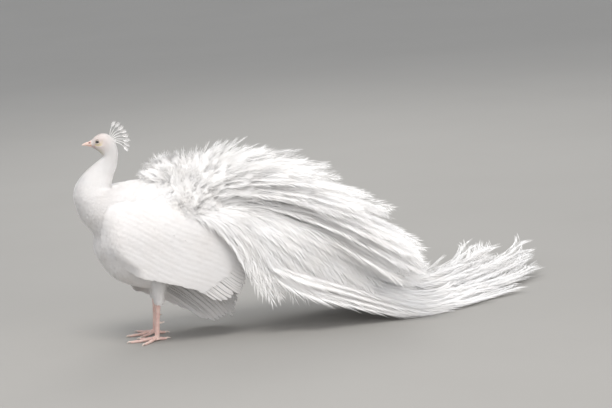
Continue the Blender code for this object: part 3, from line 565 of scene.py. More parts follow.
def makeEye(side):
    x, y, z = face["eye"]
    centre, radius = np.array([x, side * y, z]), face["eyeRadius"]
    name = "eyeball" + sideWord(side)

    def placeAt(t, turn, pole):
        axis, around = np.cos(t * math.pi), np.sin(t * math.pi)
        bulge = 1 + 0.05 * np.clip(axis, 0, 1) ** 6  # the cornea stands a little proud
        ball = np.stack([around * np.cos(turn), axis * side, around * np.sin(turn)], -1)
        return turnHead(centre + ball * (radius * 0.985 * bulge)[:, None])

    pupilAt = turnHead(centre + (0, side * radius, 0))
    look = {
        "light": (0.030, 0.016, 0.011), "shade": (0.012, 0.007, 0.006), "cloudScale": 900.0, "contrast": 3.0,
        "roughness": 0.08, "specular": 0.6, "coat": 1.0,
        "spots": (tintSpot(pupilAt, face["pupil"], 0.12, 0.0, (0.003, 0.003, 0.003)),),
    }
    piece = roundPiece(name, 40, 28, placeAt, makeMaterial(name + "Wet", look))
    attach(piece, "root")
    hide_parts("eye_left" if side < 0 else "eye_right")


lidSkin = makeMaterial("lidSkin", {
    "light": (0.80, 0.70, 0.62), "shade": (0.66, 0.53, 0.46), "cloudScale": 260.0, "contrast": 2.4,
    "roughness": 0.5, "specular": 0.35, "bumpScale": 1600.0, "bumpStrength": 0.4, "bumpDepth": 0.0003,
    "glow": 0.2,
})


def makeLid(side):
    # the rim of bare lid, a little almond shaped, tilted as the side of the head is
    x, y, z = face["eye"]
    deselectAll()
    bpy.ops.mesh.primitive_torus_add(
        location=(0, 0, 0), major_radius=face["lidRing"], minor_radius=face["lidWire"],
        major_segments=56, minor_segments=10)
    lid = bpy.context.object
    lid.name = lid.data.name = "lid" + sideWord(side)
    co = np.array([v.co for v in lid.data.vertices])
    turn = np.arctan2(co[:, 1], co[:, 0])
    stretch = 1 + 0.10 * np.cos(2 * turn)  # longer than high
    wrinkle = 1 + 0.05 * np.sin(22 * turn)
    around = co[:, :2] * (stretch * wrinkle)[:, None]
    around[:, 1] *= np.where(co[:, 1] > 0, 0.94, 0.98)
    sag = 0.0009 * np.abs(np.cos(turn)) ** 3
    out = y + face["lidOut"] + co[:, 2] * 1.3 - sag + 0.25 * around[:, 0] - 0.10 * around[:, 1]
    local = np.stack([x + around[:, 0], side * out, z + around[:, 1]], -1)
    lid.data.vertices.foreach_set("co", turnHead(local).astype(np.float32).ravel())
    turnOutwards()
    lid.data.materials.append(lidSkin)
    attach(lid, "root")


bill = {
    "horn": {
        "light": (0.85, 0.69, 0.61), "shade": (0.80, 0.58, 0.50), "cloudScale": 160.0, "contrast": 2.4,
        "roughness": 0.42, "specular": 0.45, "bumpScale": 1400.0, "bumpStrength": 0.25, "bumpDepth": 0.0003,
        "glow": 0.25,
    },
    "mouthColour": (0.80, 0.45, 0.33),
    # painted highlight along the bill's top ridge
    "ridgeColour": (0.90, 0.83, 0.78),
    "nostrilRing": (0.66, 0.30, 0.26),
    # painted shade inside the nostril's opening
    "nostrilDark": (0.03, 0.015, 0.012),
    "mouthHeight": 0.36,  # share of the base's height at which the mouth line starts
    "halfGap": 0.00012,
    "narrowing": 0.78,
    "lowerWidth": 0.92,
    "upperReach": 0.985,
    "lowerReach": 0.87,
}


def billHalfWidth(upper, t):
    return stationRows[0, 4] * (1 - bill["narrowing"] * t**0.8) * (1.0 if upper else bill["lowerWidth"])


def billPlace(upper, t, arc):
    # arc goes over the half from one side of the mouth line to the other, 0 to pi
    top = np.array([stationRows[0, 0], 0, stationRows[0, 1]])
    low = np.array([stationRows[0, 2], 0, stationRows[0, 3]])
    tip = np.array([face["billTip"][0], 0, face["billTip"][1]])
    t3 = t[:, None]
    mouth = low + (top - low) * bill["mouthHeight"]
    mouth = mouth * (1 - t3) + (tip + (0.002, 0, 0.0012)) * t3
    mouth[:, 2] += -0.0022 * t**3 + (bill["halfGap"] if upper else -bill["halfGap"])
    if upper:
        arch = 0.0012 * np.sin(np.pi * t) - 0.0012 * np.sin(np.pi * np.minimum(1, t / 0.6)) ** 2
        far = top * (1 - t3) + tip * t3
        far[:, 2] += arch + 0.0012 * t
    else:
        far = low * (1 - t3) + (tip + (0.004, 0, -0.0018)) * t3
        far[:, 2] += 0.0012 * np.sin(np.pi * t)
    ring = mouth + (far - mouth) * (np.sin(arc).clip(0, 1) ** 0.9)[:, None]
    ring[:, 1] -= billHalfWidth(upper, t) * np.cos(arc)
    return ring


def makeBillHalf(upper):
    reach = bill["upperReach"] if upper else bill["lowerReach"]
    rings = 44

    def placeAt(t, turn, pole):
        s = np.clip((t * rings - 1) / (rings - 2), 0, 1)
        along = reach * (1 - (1 - s) ** 1.25)
        outer = turn >= 0
        shape = billPlace(upper, along, np.where(outer, np.pi - turn, 0.0))
        flat = billPlace(upper, along, np.zeros_like(turn))
        flat[:, 1] += billHalfWidth(upper, along) * (1 - np.cos(np.pi + turn))  # the mouth's flat side
        at = np.where(outer[:, None], shape, flat)
        ridge = billPlace(upper, along, np.full_like(turn, np.pi / 2))
        ends = ridge * 0.35 + billPlace(upper, along, np.zeros_like(turn)) * (0.65, 0, 0.65)
        return turnHead(np.where(pole[:, None], ends, at))

    x, y, z = face["nostril"]
    # a painted highlight: the bill's top ridge is paler, as where the light from above falls on it
    ridgeAt = turnHead((-0.1620, 0, 0.6480))
    spots = [tintSpot(ridgeAt, 0.0060, 0.8, 0.3, bill["ridgeColour"], (0.35, 1.6, 1.2))]
    for side in (-1, 1):
        gape = turnHead((-0.1500, side * 0.010, 0.6310))
        spots.append(tintSpot(gape, 0.0062, 0.8, 0.8, bill["mouthColour"], (0.40, 0.5, 2.6)))
        if upper:
            # each nostril: a reddish ring round it, and painted shade in its pit
            ring, pit = turnHead((x, side * y, z)), turnHead((x, side * (y - 0.0008), z))
            spots.append(tintSpot(ring, 0.0050, 0.6, 0.4, bill["nostrilRing"], (0.85, 0.8, 1.4)))
            spots.append(tintSpot(pit, 0.0029, 0.3, 0.0, bill["nostrilDark"], (0.7, 0.8, 1.5)))
    name = "billUpper" if upper else "billLower"
    horn = makeMaterial(name + "Horn", dict(bill["horn"], spots=spots))
    half = roundPiece(name, 36, rings, placeAt, horn)
    if upper:
        for side in (-1, 1):
            carve(half, makeNostril(side))
    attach(half, "root")
    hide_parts("bill_upper" if upper else "bill_lower")


def makeNostril(side):
    x, y, z = face["nostril"]
    sizes = np.array(face["nostrilSize"])

    def placeAt(t, turn, pole):
        around = np.sin(t * np.pi)
        ball = np.stack([around * np.cos(turn), np.cos(t * np.pi), around * np.sin(turn)], -1)
        return turnHead(np.array([x, side * y, z]) + ball * sizes)

    return roundPiece("nostrilPit", 16, 10, placeAt, skinUnderDown)


def carve(piece, tool, operation="DIFFERENCE"):
    makeActive(piece)
    cut = piece.modifiers.new("shape", "BOOLEAN")
    cut.operation = operation
    cut.object = tool
    cut.solver = "EXACT"
    bpy.ops.object.modifier_apply(modifier=cut.name)
    bpy.data.objects.remove(tool)


# legs

legs = {
    "spread": 0.052, "setback": 0.012, "hock": (0.0150, 0.1300), "hip": (0.0280, 0.2750), "ankle": 0.0130,
    "toes": {"inner": (40, 0.060), "middle": (4, 0.082), "outer": (-46, 0.068), "hind": (168, 0.034)},
    "toeRadius": 0.0056, "claw": 0.0135, "spurHeight": 0.057,
    # share of the length, half depth, half width
    "thigh": ((0.0, 0.0125, 0.0110), (0.05, 0.0165, 0.0150), (0.25, 0.0200, 0.0185), (0.5, 0.0270, 0.0250),
              (0.75, 0.0400, 0.0360), (1.0, 0.0520, 0.0400)),
    "shank": ((0.0, 0.0085, 0.0078), (0.05, 0.0098, 0.0086), (0.13, 0.0082, 0.0074), (0.3, 0.0070, 0.0060),
              (0.6, 0.0066, 0.0056), (0.85, 0.0072, 0.0064), (1.0, 0.0078, 0.0072)),
    "spur": ((0.0, 0.0042), (0.42, 0.0035), (0.76, 0.0021), (1.0, 0.0005)),
    "pad": ((0, 0.0080, 0.0074), (0.5, 0.0110, 0.0102), (0.85, 0.0118, 0.0108), (1, 0.0085, 0.0080)),
    "clawThick": ((0, 0.0033), (0.35, 0.0027), (0.75, 0.0014), (1, 0.0003)),
    "toeTaper": 0.35, "jointSwell": 0.07, "hockOut": 0.003, "hipOut": 0.012,
    "shankScutes": (18, 0.00055), "padScutes": (4, 0.0004),  # count and height
    "toeScuteStep": 0.0042, "toeScuteHeight": 0.0003, "spurLength": 0.0235,
    "thighCoat": 0.0045, "thighFeathers": 2200, "thighSeed": 31,
    # length at the hock, what it gains up to the hip, and width as a share of it
    "thighFeather": (0.015, 0.010, 0.48),
}
legLook = {
    "light": (0.83, 0.63, 0.56), "shade": (0.72, 0.48, 0.43), "cloudScale": 60.0, "contrast": 2.6,
    "roughness": 0.55, "specular": 0.35, "bumpScale": 700.0, "bumpStrength": 0.5, "bumpDepth": 0.0005,
    "glow": 0.2,
}
scaledSkin = makeMaterial("scaledLegSkin", legLook)
clawHorn = makeMaterial("clawHorn", dict(
    bill["horn"], light=(0.84, 0.74, 0.67), shade=(0.66, 0.52, 0.46), cloudScale=220.0))


def legPoints(side):
    # foot, ankle, hock and hip of one leg
    back = 0.0 if side < 0 else legs["setback"]
    foot = np.array([back, side * legs["spread"], 0.0])
    (hockX, hockZ), (hipX, hipZ) = legs["hock"], legs["hip"]
    hock = np.array([hockX + back * 0.6, side * (legs["spread"] + legs["hockOut"]), hockZ])
    hip = np.array([hipX, side * (legs["spread"] + legs["hipOut"]), hipZ])
    ankle = foot + (0.002, 0, legs["ankle"])
    return [p + birdFoot for p in (foot, ankle, hock, hip)]


def scutes(count, height):
    # overlapping plates down the front, small pebbled scales behind
    def relief(s, turn):
        front = np.clip(np.cos(turn) * 1.4 + 0.2, 0, 1)
        step = (s * count) % 1.0
        plates = front * height * (1 - step**3 * 1.4)
        pebbles = (1 - front) * height * 0.45 * np.sin(s * count * 2.6 * np.pi) * np.sin(turn * 7)
        return plates + pebbles
    return relief


def makeThighSkin(side):
    _, _, hock, hip = legPoints(side)
    deep, wide = tableCurve(legs["thigh"], 1), tableCurve(legs["thigh"], 2)
    return limb("thighSkin", straight(hock, hip), lambda s: deep(s) - legs["thighCoat"],
                lambda s: wide(s) - legs["thighCoat"], (-1, 0, 0), skinUnderDown, 28, 30)


def makeSkin():
    # one skin for head, neck, trunk and thighs, under the coat by its depth
    rings = 128

    def placeAt(t, turn, pole):
        u = np.clip((t * rings - 1) / (rings - 2), 0, 1) * lastStation
        at = bodyPoint(u, turn, -coatDepth(u))
        ends = (bodyPoint(u, np.zeros_like(u)) + bodyPoint(u, np.full_like(u, np.pi))) / 2
        return shapeFace(np.where(pole[:, None], ends, at))

    skin = roundPiece("skin", 80, rings, placeAt, skinUnderDown)
    for side in (-1, 1):
        carve(skin, makeThighSkin(side), "UNION")
    makeActive(skin)
    bpy.ops.object.shade_smooth()
    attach(skin, "root")
    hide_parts("head", "neck", "neck_base", "breast", "torso", "vent", "thigh_left", "thigh_right")


def makeShank(side):
    _, ankle, hock, _ = legPoints(side)
    word = sideWord(side)
    deep, wide = tableCurve(legs["shank"], 1), tableCurve(legs["shank"], 2)
    path = straight(hock + (0, 0, 0.006), ankle - (0, 0, 0.003))
    shank = limb("shank" + word, path, deep, wide, (-1, 0, 0), scaledSkin, 40, 150,
                 scutes(*legs["shankScutes"]))
    height = (hock[2] - legs["spurHeight"]) / (hock[2] - ankle[2])
    root = hock + (ankle - hock) * height
    out = unit(np.array([0.95, side * 0.18, 0.05]))
    size = tableCurve(legs["spur"], 1)
    spurPath = [root, root + out * 0.012, root + out * legs["spurLength"] + (0, 0, 0.0012)]
    spur = limb("spur" + word, spurPath, size, size, (0, 0, 1), clawHorn, 20, 24)
    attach(shank, "root")
    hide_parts("shank_left" if side < 0 else "shank_right")
    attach(spur, "root")


def toeThickness(s):
    joint = 1 + legs["jointSwell"] * np.sin(5.5 * np.pi * s)
    return legs["toeRadius"] * (1.0 - legs["toeTaper"] * s) * joint


def makeFoot(side):
    foot, ankle, _, _ = legPoints(side)
    word = sideWord(side)
    low = word.lower()
    pad = limb("foot" + word, [ankle + (0, 0, 0.001), foot + (0, 0, 0.0085), foot + (0, 0, 0.0030)],
               tableCurve(legs["pad"], 1), tableCurve(legs["pad"], 2), (-1, 0, 0), scaledSkin, 32, 26,
               scutes(*legs["padScutes"]))
    pieces = [pad]
    thick = tableCurve(legs["clawThick"], 1)
    stops = np.linspace(0, 1, 9)

    def radiusAt(s):
        return toeThickness(s) * np.sqrt(np.clip((1.02 - s) * 30, 0, 1))

    for toeName, (degrees, length) in legs["toes"].items():
        heading = math.radians(degrees) * side
        way = np.array([-math.cos(heading), -math.sin(heading), 0.0])
        path = foot + way * (length * stops)[:, None]
        path[:, 2] = toeThickness(stops) * 0.93 + 0.006 * (1 - stops) ** 3
        plates = scutes(int(length / legs["toeScuteStep"]), legs["toeScuteHeight"])
        pieces.append(limb("toe" + word + toeName.capitalize(), path, radiusAt, radiusAt, (0, 0, 1),
                           scaledSkin, 24, 72, plates))
        tip = foot + way * (length - 0.0008)
        places = [tip + (0, 0, 0.0046), tip + way * 0.006 + (0, 0, 0.0052),
                  tip + way * 0.011 + (0, 0, 0.0036), tip + way * (legs["claw"] + 0.0003) + (0, 0, 0.0010)]
        clawPiece = limb("claw" + word + toeName.capitalize(), places, thick, lambda s: thick(s) * 0.8,
                         (0, 0, 1), clawHorn, 16, 24)
        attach(clawPiece, "root")
        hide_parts(f"claw_{low}_{toeName}")
    for piece in pieces:
        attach(piece, "root")
    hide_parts("foot_" + low)


# small body feathers over the skin

def bladeTemplate():
    # the short velvet of the face: a narrow blade
    return np.array([0.0, 0.5, 0.5, 1.0]), np.array([0.0, -1.0, 1.0, 0.0]), np.array([(0, 1, 2), (1, 3, 2)])


def frayedTemplate(tips):
    # a rounded vane whose end breaks into a few soft points
    along, across = [0.0, 0.28, 0.28, 0.28], [0.0, -0.72, 0.0, 0.72]
    edge = np.linspace(-1, 1, tips + 1)
    base = len(along)
    for a in edge:
        along.append(0.76 - 0.16 * a * a)
        across.append(a)
    tipStart = len(along)
    for k in range(tips):
        a = (edge[k] + edge[k + 1]) / 2
        along.append(1.0 - 0.20 * a * a)
        across.append(a * 0.88)
    tris = [(0, 1, 2), (0, 2, 3)]
    # each tip hangs on the left, the middle or the right of the three inner points
    sums = edge[:-1] + edge[1:]
    owners = [1 if total < -0.01 else (2 if total <= 0.01 else 3) for total in sums]
    for k in range(tips):
        tris.append((owners[k], base + k, base + k + 1))
        tris.append((base + k, tipStart + k, base + k + 1))
        if k and owners[k] != owners[k - 1]:
            tris.append((owners[k - 1], base + k, owners[k]))
    return np.array(along), np.array(across), np.array(tris)


def featherField(name, at, way, normal, length, width, depth, rootUv, template, material, relief,
                 cup=0.11, ground=None, skyward=0.0):
    # one small vane for each root, lifted over the skin and cupped across; ground lays it on a surface
    along, across, tris = template
    side = unit(np.cross(normal, way))
    n, m = len(at), len(along)
    s, a = along[None, :], across[None, :]
    depth, broad = np.broadcast_to(depth, n)[:, None], width[:, None]
    lift = -0.001 + (depth + 0.001) * (1 - (1 - s) ** 1.7) - cup * broad * a * a
    points = (at[:, None] + way[:, None] * (s * length[:, None])[..., None]
              + side[:, None] * (a * broad / 2)[..., None])
    out = normal[:, None]
    if ground:
        points, out = ground(points)
    points = points + out * lift[..., None]
    faces = (np.arange(n)[:, None, None] * m + tris[None]).reshape(-1, 3)
    uv = rootUv[:, None] + np.stack([a * 0.0014, (s - 0.5) * 0.0028], -1)
    piece = meshFromArrays(name, points.reshape(-1, 3), faces, material, uv.reshape(-1, 2))
    # soft plumage shades as one surface, with only a trace of each feather
    stray = np.random.default_rng(n).normal(0, 0.035 * relief, (n, 1, 3))
    ahead = way[:, None] * (0.10 * relief * (s[..., None] - 0.4))
    beside = side[:, None] * (a * 0.14 * relief)[..., None]
    soft = unit(out + ahead + beside + stray + np.array([0, 0, skyward]))
    piece.data.normals_split_custom_set_from_vertices(soft.reshape(-1, 3).tolist())
    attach(piece, "root")


coat = {
    # station, feather length, feather width
    "sizes": ((0.0, 0.0030, 0.0011), (2.0, 0.0042, 0.0015), (4.5, 0.0065, 0.0026), (6.0, 0.0095, 0.0046),
              (8.0, 0.0140, 0.0072), (11.0, 0.0210, 0.0110), (14.0, 0.0280, 0.0140), (19.0, 0.0330, 0.0150)),
    "rowShare": 0.26, "acrossShare": 0.46, "swing": 0.10, "headRelief": 2.2, "relief": 1.3,
    # piece, first and last station, points at each feather's end
    "parts": (("velvetHead", 0.0, 4.6, 0), ("neckFeathers", 4.5, 9.0, 3), ("breastFeathers", 8.9, 13.0, 5),
              ("bodyFeathers", 12.9, 19.0, 5)),
    "seed": 21,
}


def coatRoots(first, last, rand):
    # staggered rows of roots down the body, closer where the feathers are small
    length, width = tableCurve(coat["sizes"], 1), tableCurve(coat["sizes"], 2)
    places, angles = [], []
    around, step = 72, 0.02
    turns = np.linspace(0, 2 * np.pi, around)
    u, odd = first, 0
    while u < last:
        ring, nextRing = bodyPoint(np.full(around, u), turns), bodyPoint(np.full(around, u + step), turns)
        pace = np.quantile(np.linalg.norm(nextRing - ring, axis=1), 0.8) / step
        girth = np.concatenate([[0], np.cumsum(np.linalg.norm(np.diff(ring, axis=0), axis=1))])
        count = max(8, int(girth[-1] / (width(u) * coat["acrossShare"])))
        spots = (np.arange(count) + 0.5 * (odd % 2) + rand.uniform(-0.25, 0.25, count)) / count * girth[-1]
        rowStep = length(u) * coat["rowShare"] / pace
        angles.append(np.interp(spots % girth[-1], girth, turns))
        places.append(u + rand.uniform(-0.45, 0.45, count) * rowStep)
        u, odd = u + rowStep, odd + 1
    return np.clip(np.concatenate(places), 0.02, lastStation - 0.02), np.concatenate(angles)


def underWing(at):
    # well behind the wing's front edge, where its coverts hide the body
    x, y, z = (at - birdFoot).T
    edge = np.array(wing["covertFront"])
    behind = x > np.interp(z, edge[:, 1], edge[:, 0]) + 0.030
    return behind & (x < 0.10) & (z > 0.29) & (z < 0.42) & (np.abs(y) > 0.06)


def makeCoat():
    rand = np.random.default_rng(coat["seed"])
    for name, first, last, tips in coat["parts"]:
        u, angle = coatRoots(first, last, rand)
        at, way, normal = bodyFrame(u, angle, -coatDepth(u))
        onHead = first < 4
        if onHead:
            at = shapeFace(at)
        hidden = onBareFace(at) if onHead else underWing(at)
        u, angle, at, way, normal = [a[~hidden] for a in (u, angle, at, way, normal)]
        n = len(u)
        way = unit(way + np.cross(normal, way) * rand.uniform(-coat["swing"], coat["swing"], n)[:, None])
        length = tableCurve(coat["sizes"], 1)(u) * rand.uniform(0.8, 1.2, n)
        width = tableCurve(coat["sizes"], 2)(u) * rand.uniform(0.85, 1.15, n)
        depth = coatDepth(u) * rand.uniform(0.90, 1.0, n)
        template = frayedTemplate(tips) if tips else bladeTemplate()
        featherField(name, at, way, normal, length, width, depth, bodyUv(u, angle), template, whitePlumage,
                     coat["headRelief"] if onHead else coat["relief"])


def makeThighCoat(side):
    # soft feathers down each thigh, longest at the top, ending in a loose edge over the hock
    rand = np.random.default_rng(legs["thighSeed"] + side)
    _, _, hock, hip = legPoints(side)
    n = legs["thighFeathers"]
    s = 1 - rand.uniform(0, 1, n) ** 0.85
    turn = rand.uniform(0, 2 * np.pi, n)
    ahead = unit(hip - hock)
    foreWay = unit(np.array([-1.0, 0, 0]) + ahead * ahead[0])
    across = np.cross(ahead, foreWay)
    deep, wide = tableCurve(legs["thigh"], 1)(s), tableCurve(legs["thigh"], 2)(s)
    out = foreWay * np.cos(turn)[:, None] + across * np.sin(turn)[:, None]
    at = (hock + (hip - hock) * s[:, None]
          + foreWay * ((deep - legs["thighCoat"]) * np.cos(turn))[:, None]
          + across * ((wide - legs["thighCoat"]) * np.sin(turn))[:, None])
    way = unit(-ahead + np.array([0.30, 0, 0]) + np.cross(out, ahead) * rand.uniform(-0.2, 0.2, n)[:, None])
    way = unit(way - out * np.sum(way * out, -1, keepdims=True) * 0.85)
    shortest, gain, broad = legs["thighFeather"]
    length = (shortest + gain * s) * rand.uniform(0.6, 1.4, n)
    uv = np.stack([(turn / (2 * np.pi)) * 0.2 + (0.02 if side < 0 else 0.72), 0.05 + 0.2 * s], -1)
    featherField("thighFeathers" + sideWord(side), at, way, out, length, length * broad,
                 legs["thighCoat"] * rand.uniform(0.7, 1.1, n), uv, frayedTemplate(5), whitePlumage, 3.0)


# stiff feathers of wings and tail

def closedVanes(name, paths, normals, widths, rootUv):
    # each feather is a closed lens with a raised shaft: paths and normals (n, k, 3), widths (n, k)
    n, k = widths.shape
    forward = unit(np.gradient(paths, axis=1))
    side = unit(np.cross(forward, normals))
    up = np.cross(side, forward)
    columns = np.array(wing["lines"])
    m = len(columns)
    crown = 0.030 * (1 - columns**2) - 0.015
    ridge = np.exp(-((columns / 0.10) ** 2)) * 0.0005
    top = (paths[:, :, None] + side[:, :, None] * (widths[:, :, None] / 2 * columns)[..., None]
           + up[:, :, None] * (widths[:, :, None] * crown + ridge)[..., None])
    inner = np.ones((k, m), bool)
    inner[:, 0] = inner[:, -1] = inner[0, :] = inner[-1, :] = False
    low = top - up[:, :, None] * (wing["vaneThick"] * inner)[None, :, :, None]
    points = np.concatenate([top.reshape(n, -1, 3), low.reshape(n, -1, 3)], 1)
    i, j = np.meshgrid(np.arange(k - 1), np.arange(m - 1), indexing="ij")
    a = (i * m + j).ravel()
    upper = np.stack([a, a + 1, a + m + 1, a, a + m + 1, a + m], -1).reshape(-1, 3)
    welded = np.where(inner.ravel(), np.arange(k * m) + k * m, np.arange(k * m))
    tris = np.concatenate([upper, welded[upper[:, ::-1]]])
    faces = (np.arange(n)[:, None, None] * (2 * k * m) + tris[None]).reshape(-1, 3)
    steps = np.linalg.norm(np.diff(paths, axis=1), axis=-1)
    reach = np.concatenate([np.zeros((n, 1)), np.cumsum(steps, 1)], 1)
    acrossUv = widths[:, :, None] / 2 * columns
    alongUv = np.broadcast_to(reach[:, :, None], (n, k, m))
    featherUv = np.stack([acrossUv, alongUv], -1).reshape(n, -1, 2)
    featherUv = np.concatenate([featherUv, featherUv], 1)
    spread = np.clip(featherUv * (0.08, 0.010) - (0, 0.001), -0.0014, 0.0014)
    bakeUv = rootUv[:, None] + spread
    used = np.unique(faces)
    remap = np.zeros(n * 2 * k * m, int)
    remap[used] = np.arange(len(used))
    return meshFromArrays(name, points.reshape(-1, 3)[used], remap[faces], stiffFeather,
                          bakeUv.reshape(-1, 2)[used], featherUv.reshape(-1, 2)[used])


wing = {
    "centre": (0.050, 0.330), "length": 0.360, "above": 0.180, "below": 0.470, "halfWidth": 0.148,
    "pad": 0.010, "shoulder": 0.440, "fold": 0.255, "farDrop": 0.104, "armCoat": 0.003, "seed": 41,
    "middle": (0.000, 0.370), "tipDrop": 0.0030,
    "rim": ((-0.096, 0.440), (-0.104, 0.385), (-0.086, 0.325), (-0.040, 0.275), (0.020, 0.240),
            (0.070, 0.262), (0.095, 0.330), (0.105, 0.400), (0.085, 0.450), (0.020, 0.466), (-0.050, 0.466)),
    # count, height over the flank, overlap, root line and tip line from low to high
    "tiers": {
        "primary": (10, 0.0000, 1.7, ((-0.004, 0.258), (0.012, 0.276), (0.036, 0.312)),
                    ((0.178, 0.128), (0.222, 0.118), (0.262, 0.146))),
        "secondary": (16, 0.0022, 1.9, ((0.034, 0.310), (0.052, 0.360), (0.075, 0.420)),
                      ((0.268, 0.132), (0.292, 0.205), (0.240, 0.342))),
        "greater": (18, 0.0045, 1.9, ((-0.006, 0.272), (0.012, 0.350), (0.045, 0.430)),
                    ((0.128, 0.180), (0.190, 0.238), (0.200, 0.375))),
    },
    "steps": 17, "lines": (-1.0, -0.7, -0.36, -0.10, 0.0, 0.10, 0.36, 0.7, 1.0), "vaneThick": 0.0006,
    # roots of the first and last row of soft coverts, from low to high
    "covertFront": ((-0.085, 0.250), (-0.146, 0.312), (-0.152, 0.385), (-0.132, 0.458)),
    "covertFrontFar": ((-0.050, 0.262), (-0.104, 0.318), (-0.152, 0.385), (-0.132, 0.458)),
    "covertRear": ((0.112, 0.192), (0.186, 0.232), (0.228, 0.312), (0.190, 0.438)),
    "covertRows": 58, "covertFirst": 0.027, "covertLast": 0.062, "rowReach": 1.75, "covertDepth": 0.0022,
    "covertWidth": 0.40, "covertSwing": 0.07, "covertRelief": 0.6, "covertCup": 0.006,
    "blend": 0.050, "tuck": 0.0012, "lie": 0.004, "lieRear": 0.002,
    # long soft streaks: strength, the way across them, and for each set how fast its sine runs across
    # the coverts and how fast it wanders, in radians to the metre
    "streaks": 0.11, "streakWay": (0.5, 0.0, 0.87), "streakSets": ((430, 25), (250, 31)),
}


def bodySide(x, z):
    # how far the body stands out at a place beside the wing, smoothed over a few millimetres
    u, angle = np.meshgrid(np.linspace(9.5, 16.5, 60), np.linspace(0.35, 2.7, 50))
    places = bodyPoint(u.ravel(), angle.ravel()) - birdFoot
    apart = (x[:, None] - places[:, 0]) ** 2 + (z[:, None] - places[:, 2]) ** 2
    near = np.exp(-apart / (2 * 0.007**2)) + 1e-9
    return near @ -places[:, 1] / near.sum(1)


def bodySideNormal(x, z):
    step = 0.004
    forward = (bodySide(x + step, z) - bodySide(x - step, z)) / (2 * step)
    rise = (bodySide(x, z + step) - bodySide(x, z - step)) / (2 * step)
    return unit(np.stack([-forward, -np.ones(len(x)), -rise], -1))


def flank(x, z, out):
    above = np.where(z > wing["centre"][1], wing["above"], wing["below"])
    left = 1 - ((x - wing["centre"][0]) / wing["length"]) ** 2 - ((z - wing["centre"][1]) / above) ** 2
    return np.stack([x, -wing["halfWidth"] * np.sqrt(np.maximum(0.06, left)) - out, z], -1)


def flankNormal(x, z):
    step = 0.002
    forward = flank(x + step, z, 0) - flank(x - step, z, 0)
    rise = flank(x, z + step, 0) - flank(x, z - step, 0)
    return unit(np.cross(forward, rise))


def lowered(z, drop):
    return z - drop * np.clip((wing["shoulder"] - z) / (wing["shoulder"] - wing["fold"]), 0, 1)


def tierFeathers(tier, drop, rand):
    # paths, normals and widths of one tier on the left flank, from its lowest feather to its highest
    count, height, overlap, roots, tips = tier
    t = np.arange(count) / (count - 1)
    rootLine, tipLine = curveThrough(roots, t * 2), curveThrough(tips, t * 2)
    tipLine = tipLine + rand.uniform(-0.003, 0.003, tipLine.shape)
    rx, rz = rootLine[:, 0], lowered(rootLine[:, 1], drop)
    tx, tz = tipLine[:, 0], lowered(tipLine[:, 1], drop)
    s = np.sin(np.pi / 2 * np.linspace(0, 1, wing["steps"]))[None]  # closer together at the tip
    length = np.hypot(tx - rx, tz - rz)[:, None]
    x = rx[:, None] * (1 - s) + tx[:, None] * s
    z = rz[:, None] * (1 - s) + tz[:, None] * s + length * 0.05 * np.sin(np.pi * s)
    sunk = wing["pad"] * 0.45
    fall = np.clip((s - 0.45) / 0.55, 0, 1) ** 1.5 * min(wing["tipDrop"], height)
    paths = flank(x, z, np.broadcast_to(sunk + (height - sunk) * s**0.7 - fall, x.shape))
    normals = flankNormal(x, z)
    way = unit(np.stack([tx - rx, tz - rz], -1))

    def room(px, pz):
        step = np.stack([np.gradient(px), np.gradient(pz)], -1)
        return np.linalg.norm(squareTo(step, way), axis=-1)[:, None]

    gap = np.maximum(0.004, room(rx, rz) * (1 - s) + room(tx, tz) * s)
    rounded = np.sqrt(np.clip(1 - np.clip((s - 0.87) / 0.132, 0, 1) ** 2, 0.01, 1))
    swell = np.minimum(1, 0.35 + 2.6 * s) * rounded
    widths = np.maximum(0.014, gap * overlap) * swell
    side = unit(np.cross(unit(np.gradient(paths, axis=1)), normals))
    lean = np.arcsin(np.minimum(0.20, 0.0008 / gap)) + 0.01
    normals = normals * np.cos(lean)[..., None] - side * np.sin(lean)[..., None]
    return paths, normals, widths, np.stack([0.30 + rx, 0.30 + rz * 0.5], -1)


def armOutline(turn, share):
    rim = np.array(wing["rim"] + wing["rim"][:1])
    middle = np.array(wing["middle"])
    edge = curveThrough(rim, (turn % 1.0) * len(wing["rim"]))
    return middle + (edge - middle) * share[:, None]


def makeWingArm(side, drop, mirror):
    # the folded arm: a sphere pressed to the wing's outline and laid on the flank
    def placeAt(t, turn, pole):
        share = np.sin(t * np.pi)
        flat = armOutline(turn / (2 * np.pi), share)
        z = lowered(flat[:, 1], drop)
        outer = np.cos(t * np.pi) > 0
        swell = np.where(outer, wing["pad"] * np.sqrt(np.clip(1 - share**3, 0, 1)),
                         -0.026 * np.sqrt(np.clip(1 - share**4, 0, 1)))
        return flank(flat[:, 0], z, swell - 0.002 - wing["armCoat"]) * mirror + birdFoot

    return roundPiece("wingArm" + sideWord(side), 48, 26, placeAt, skinUnderDown)


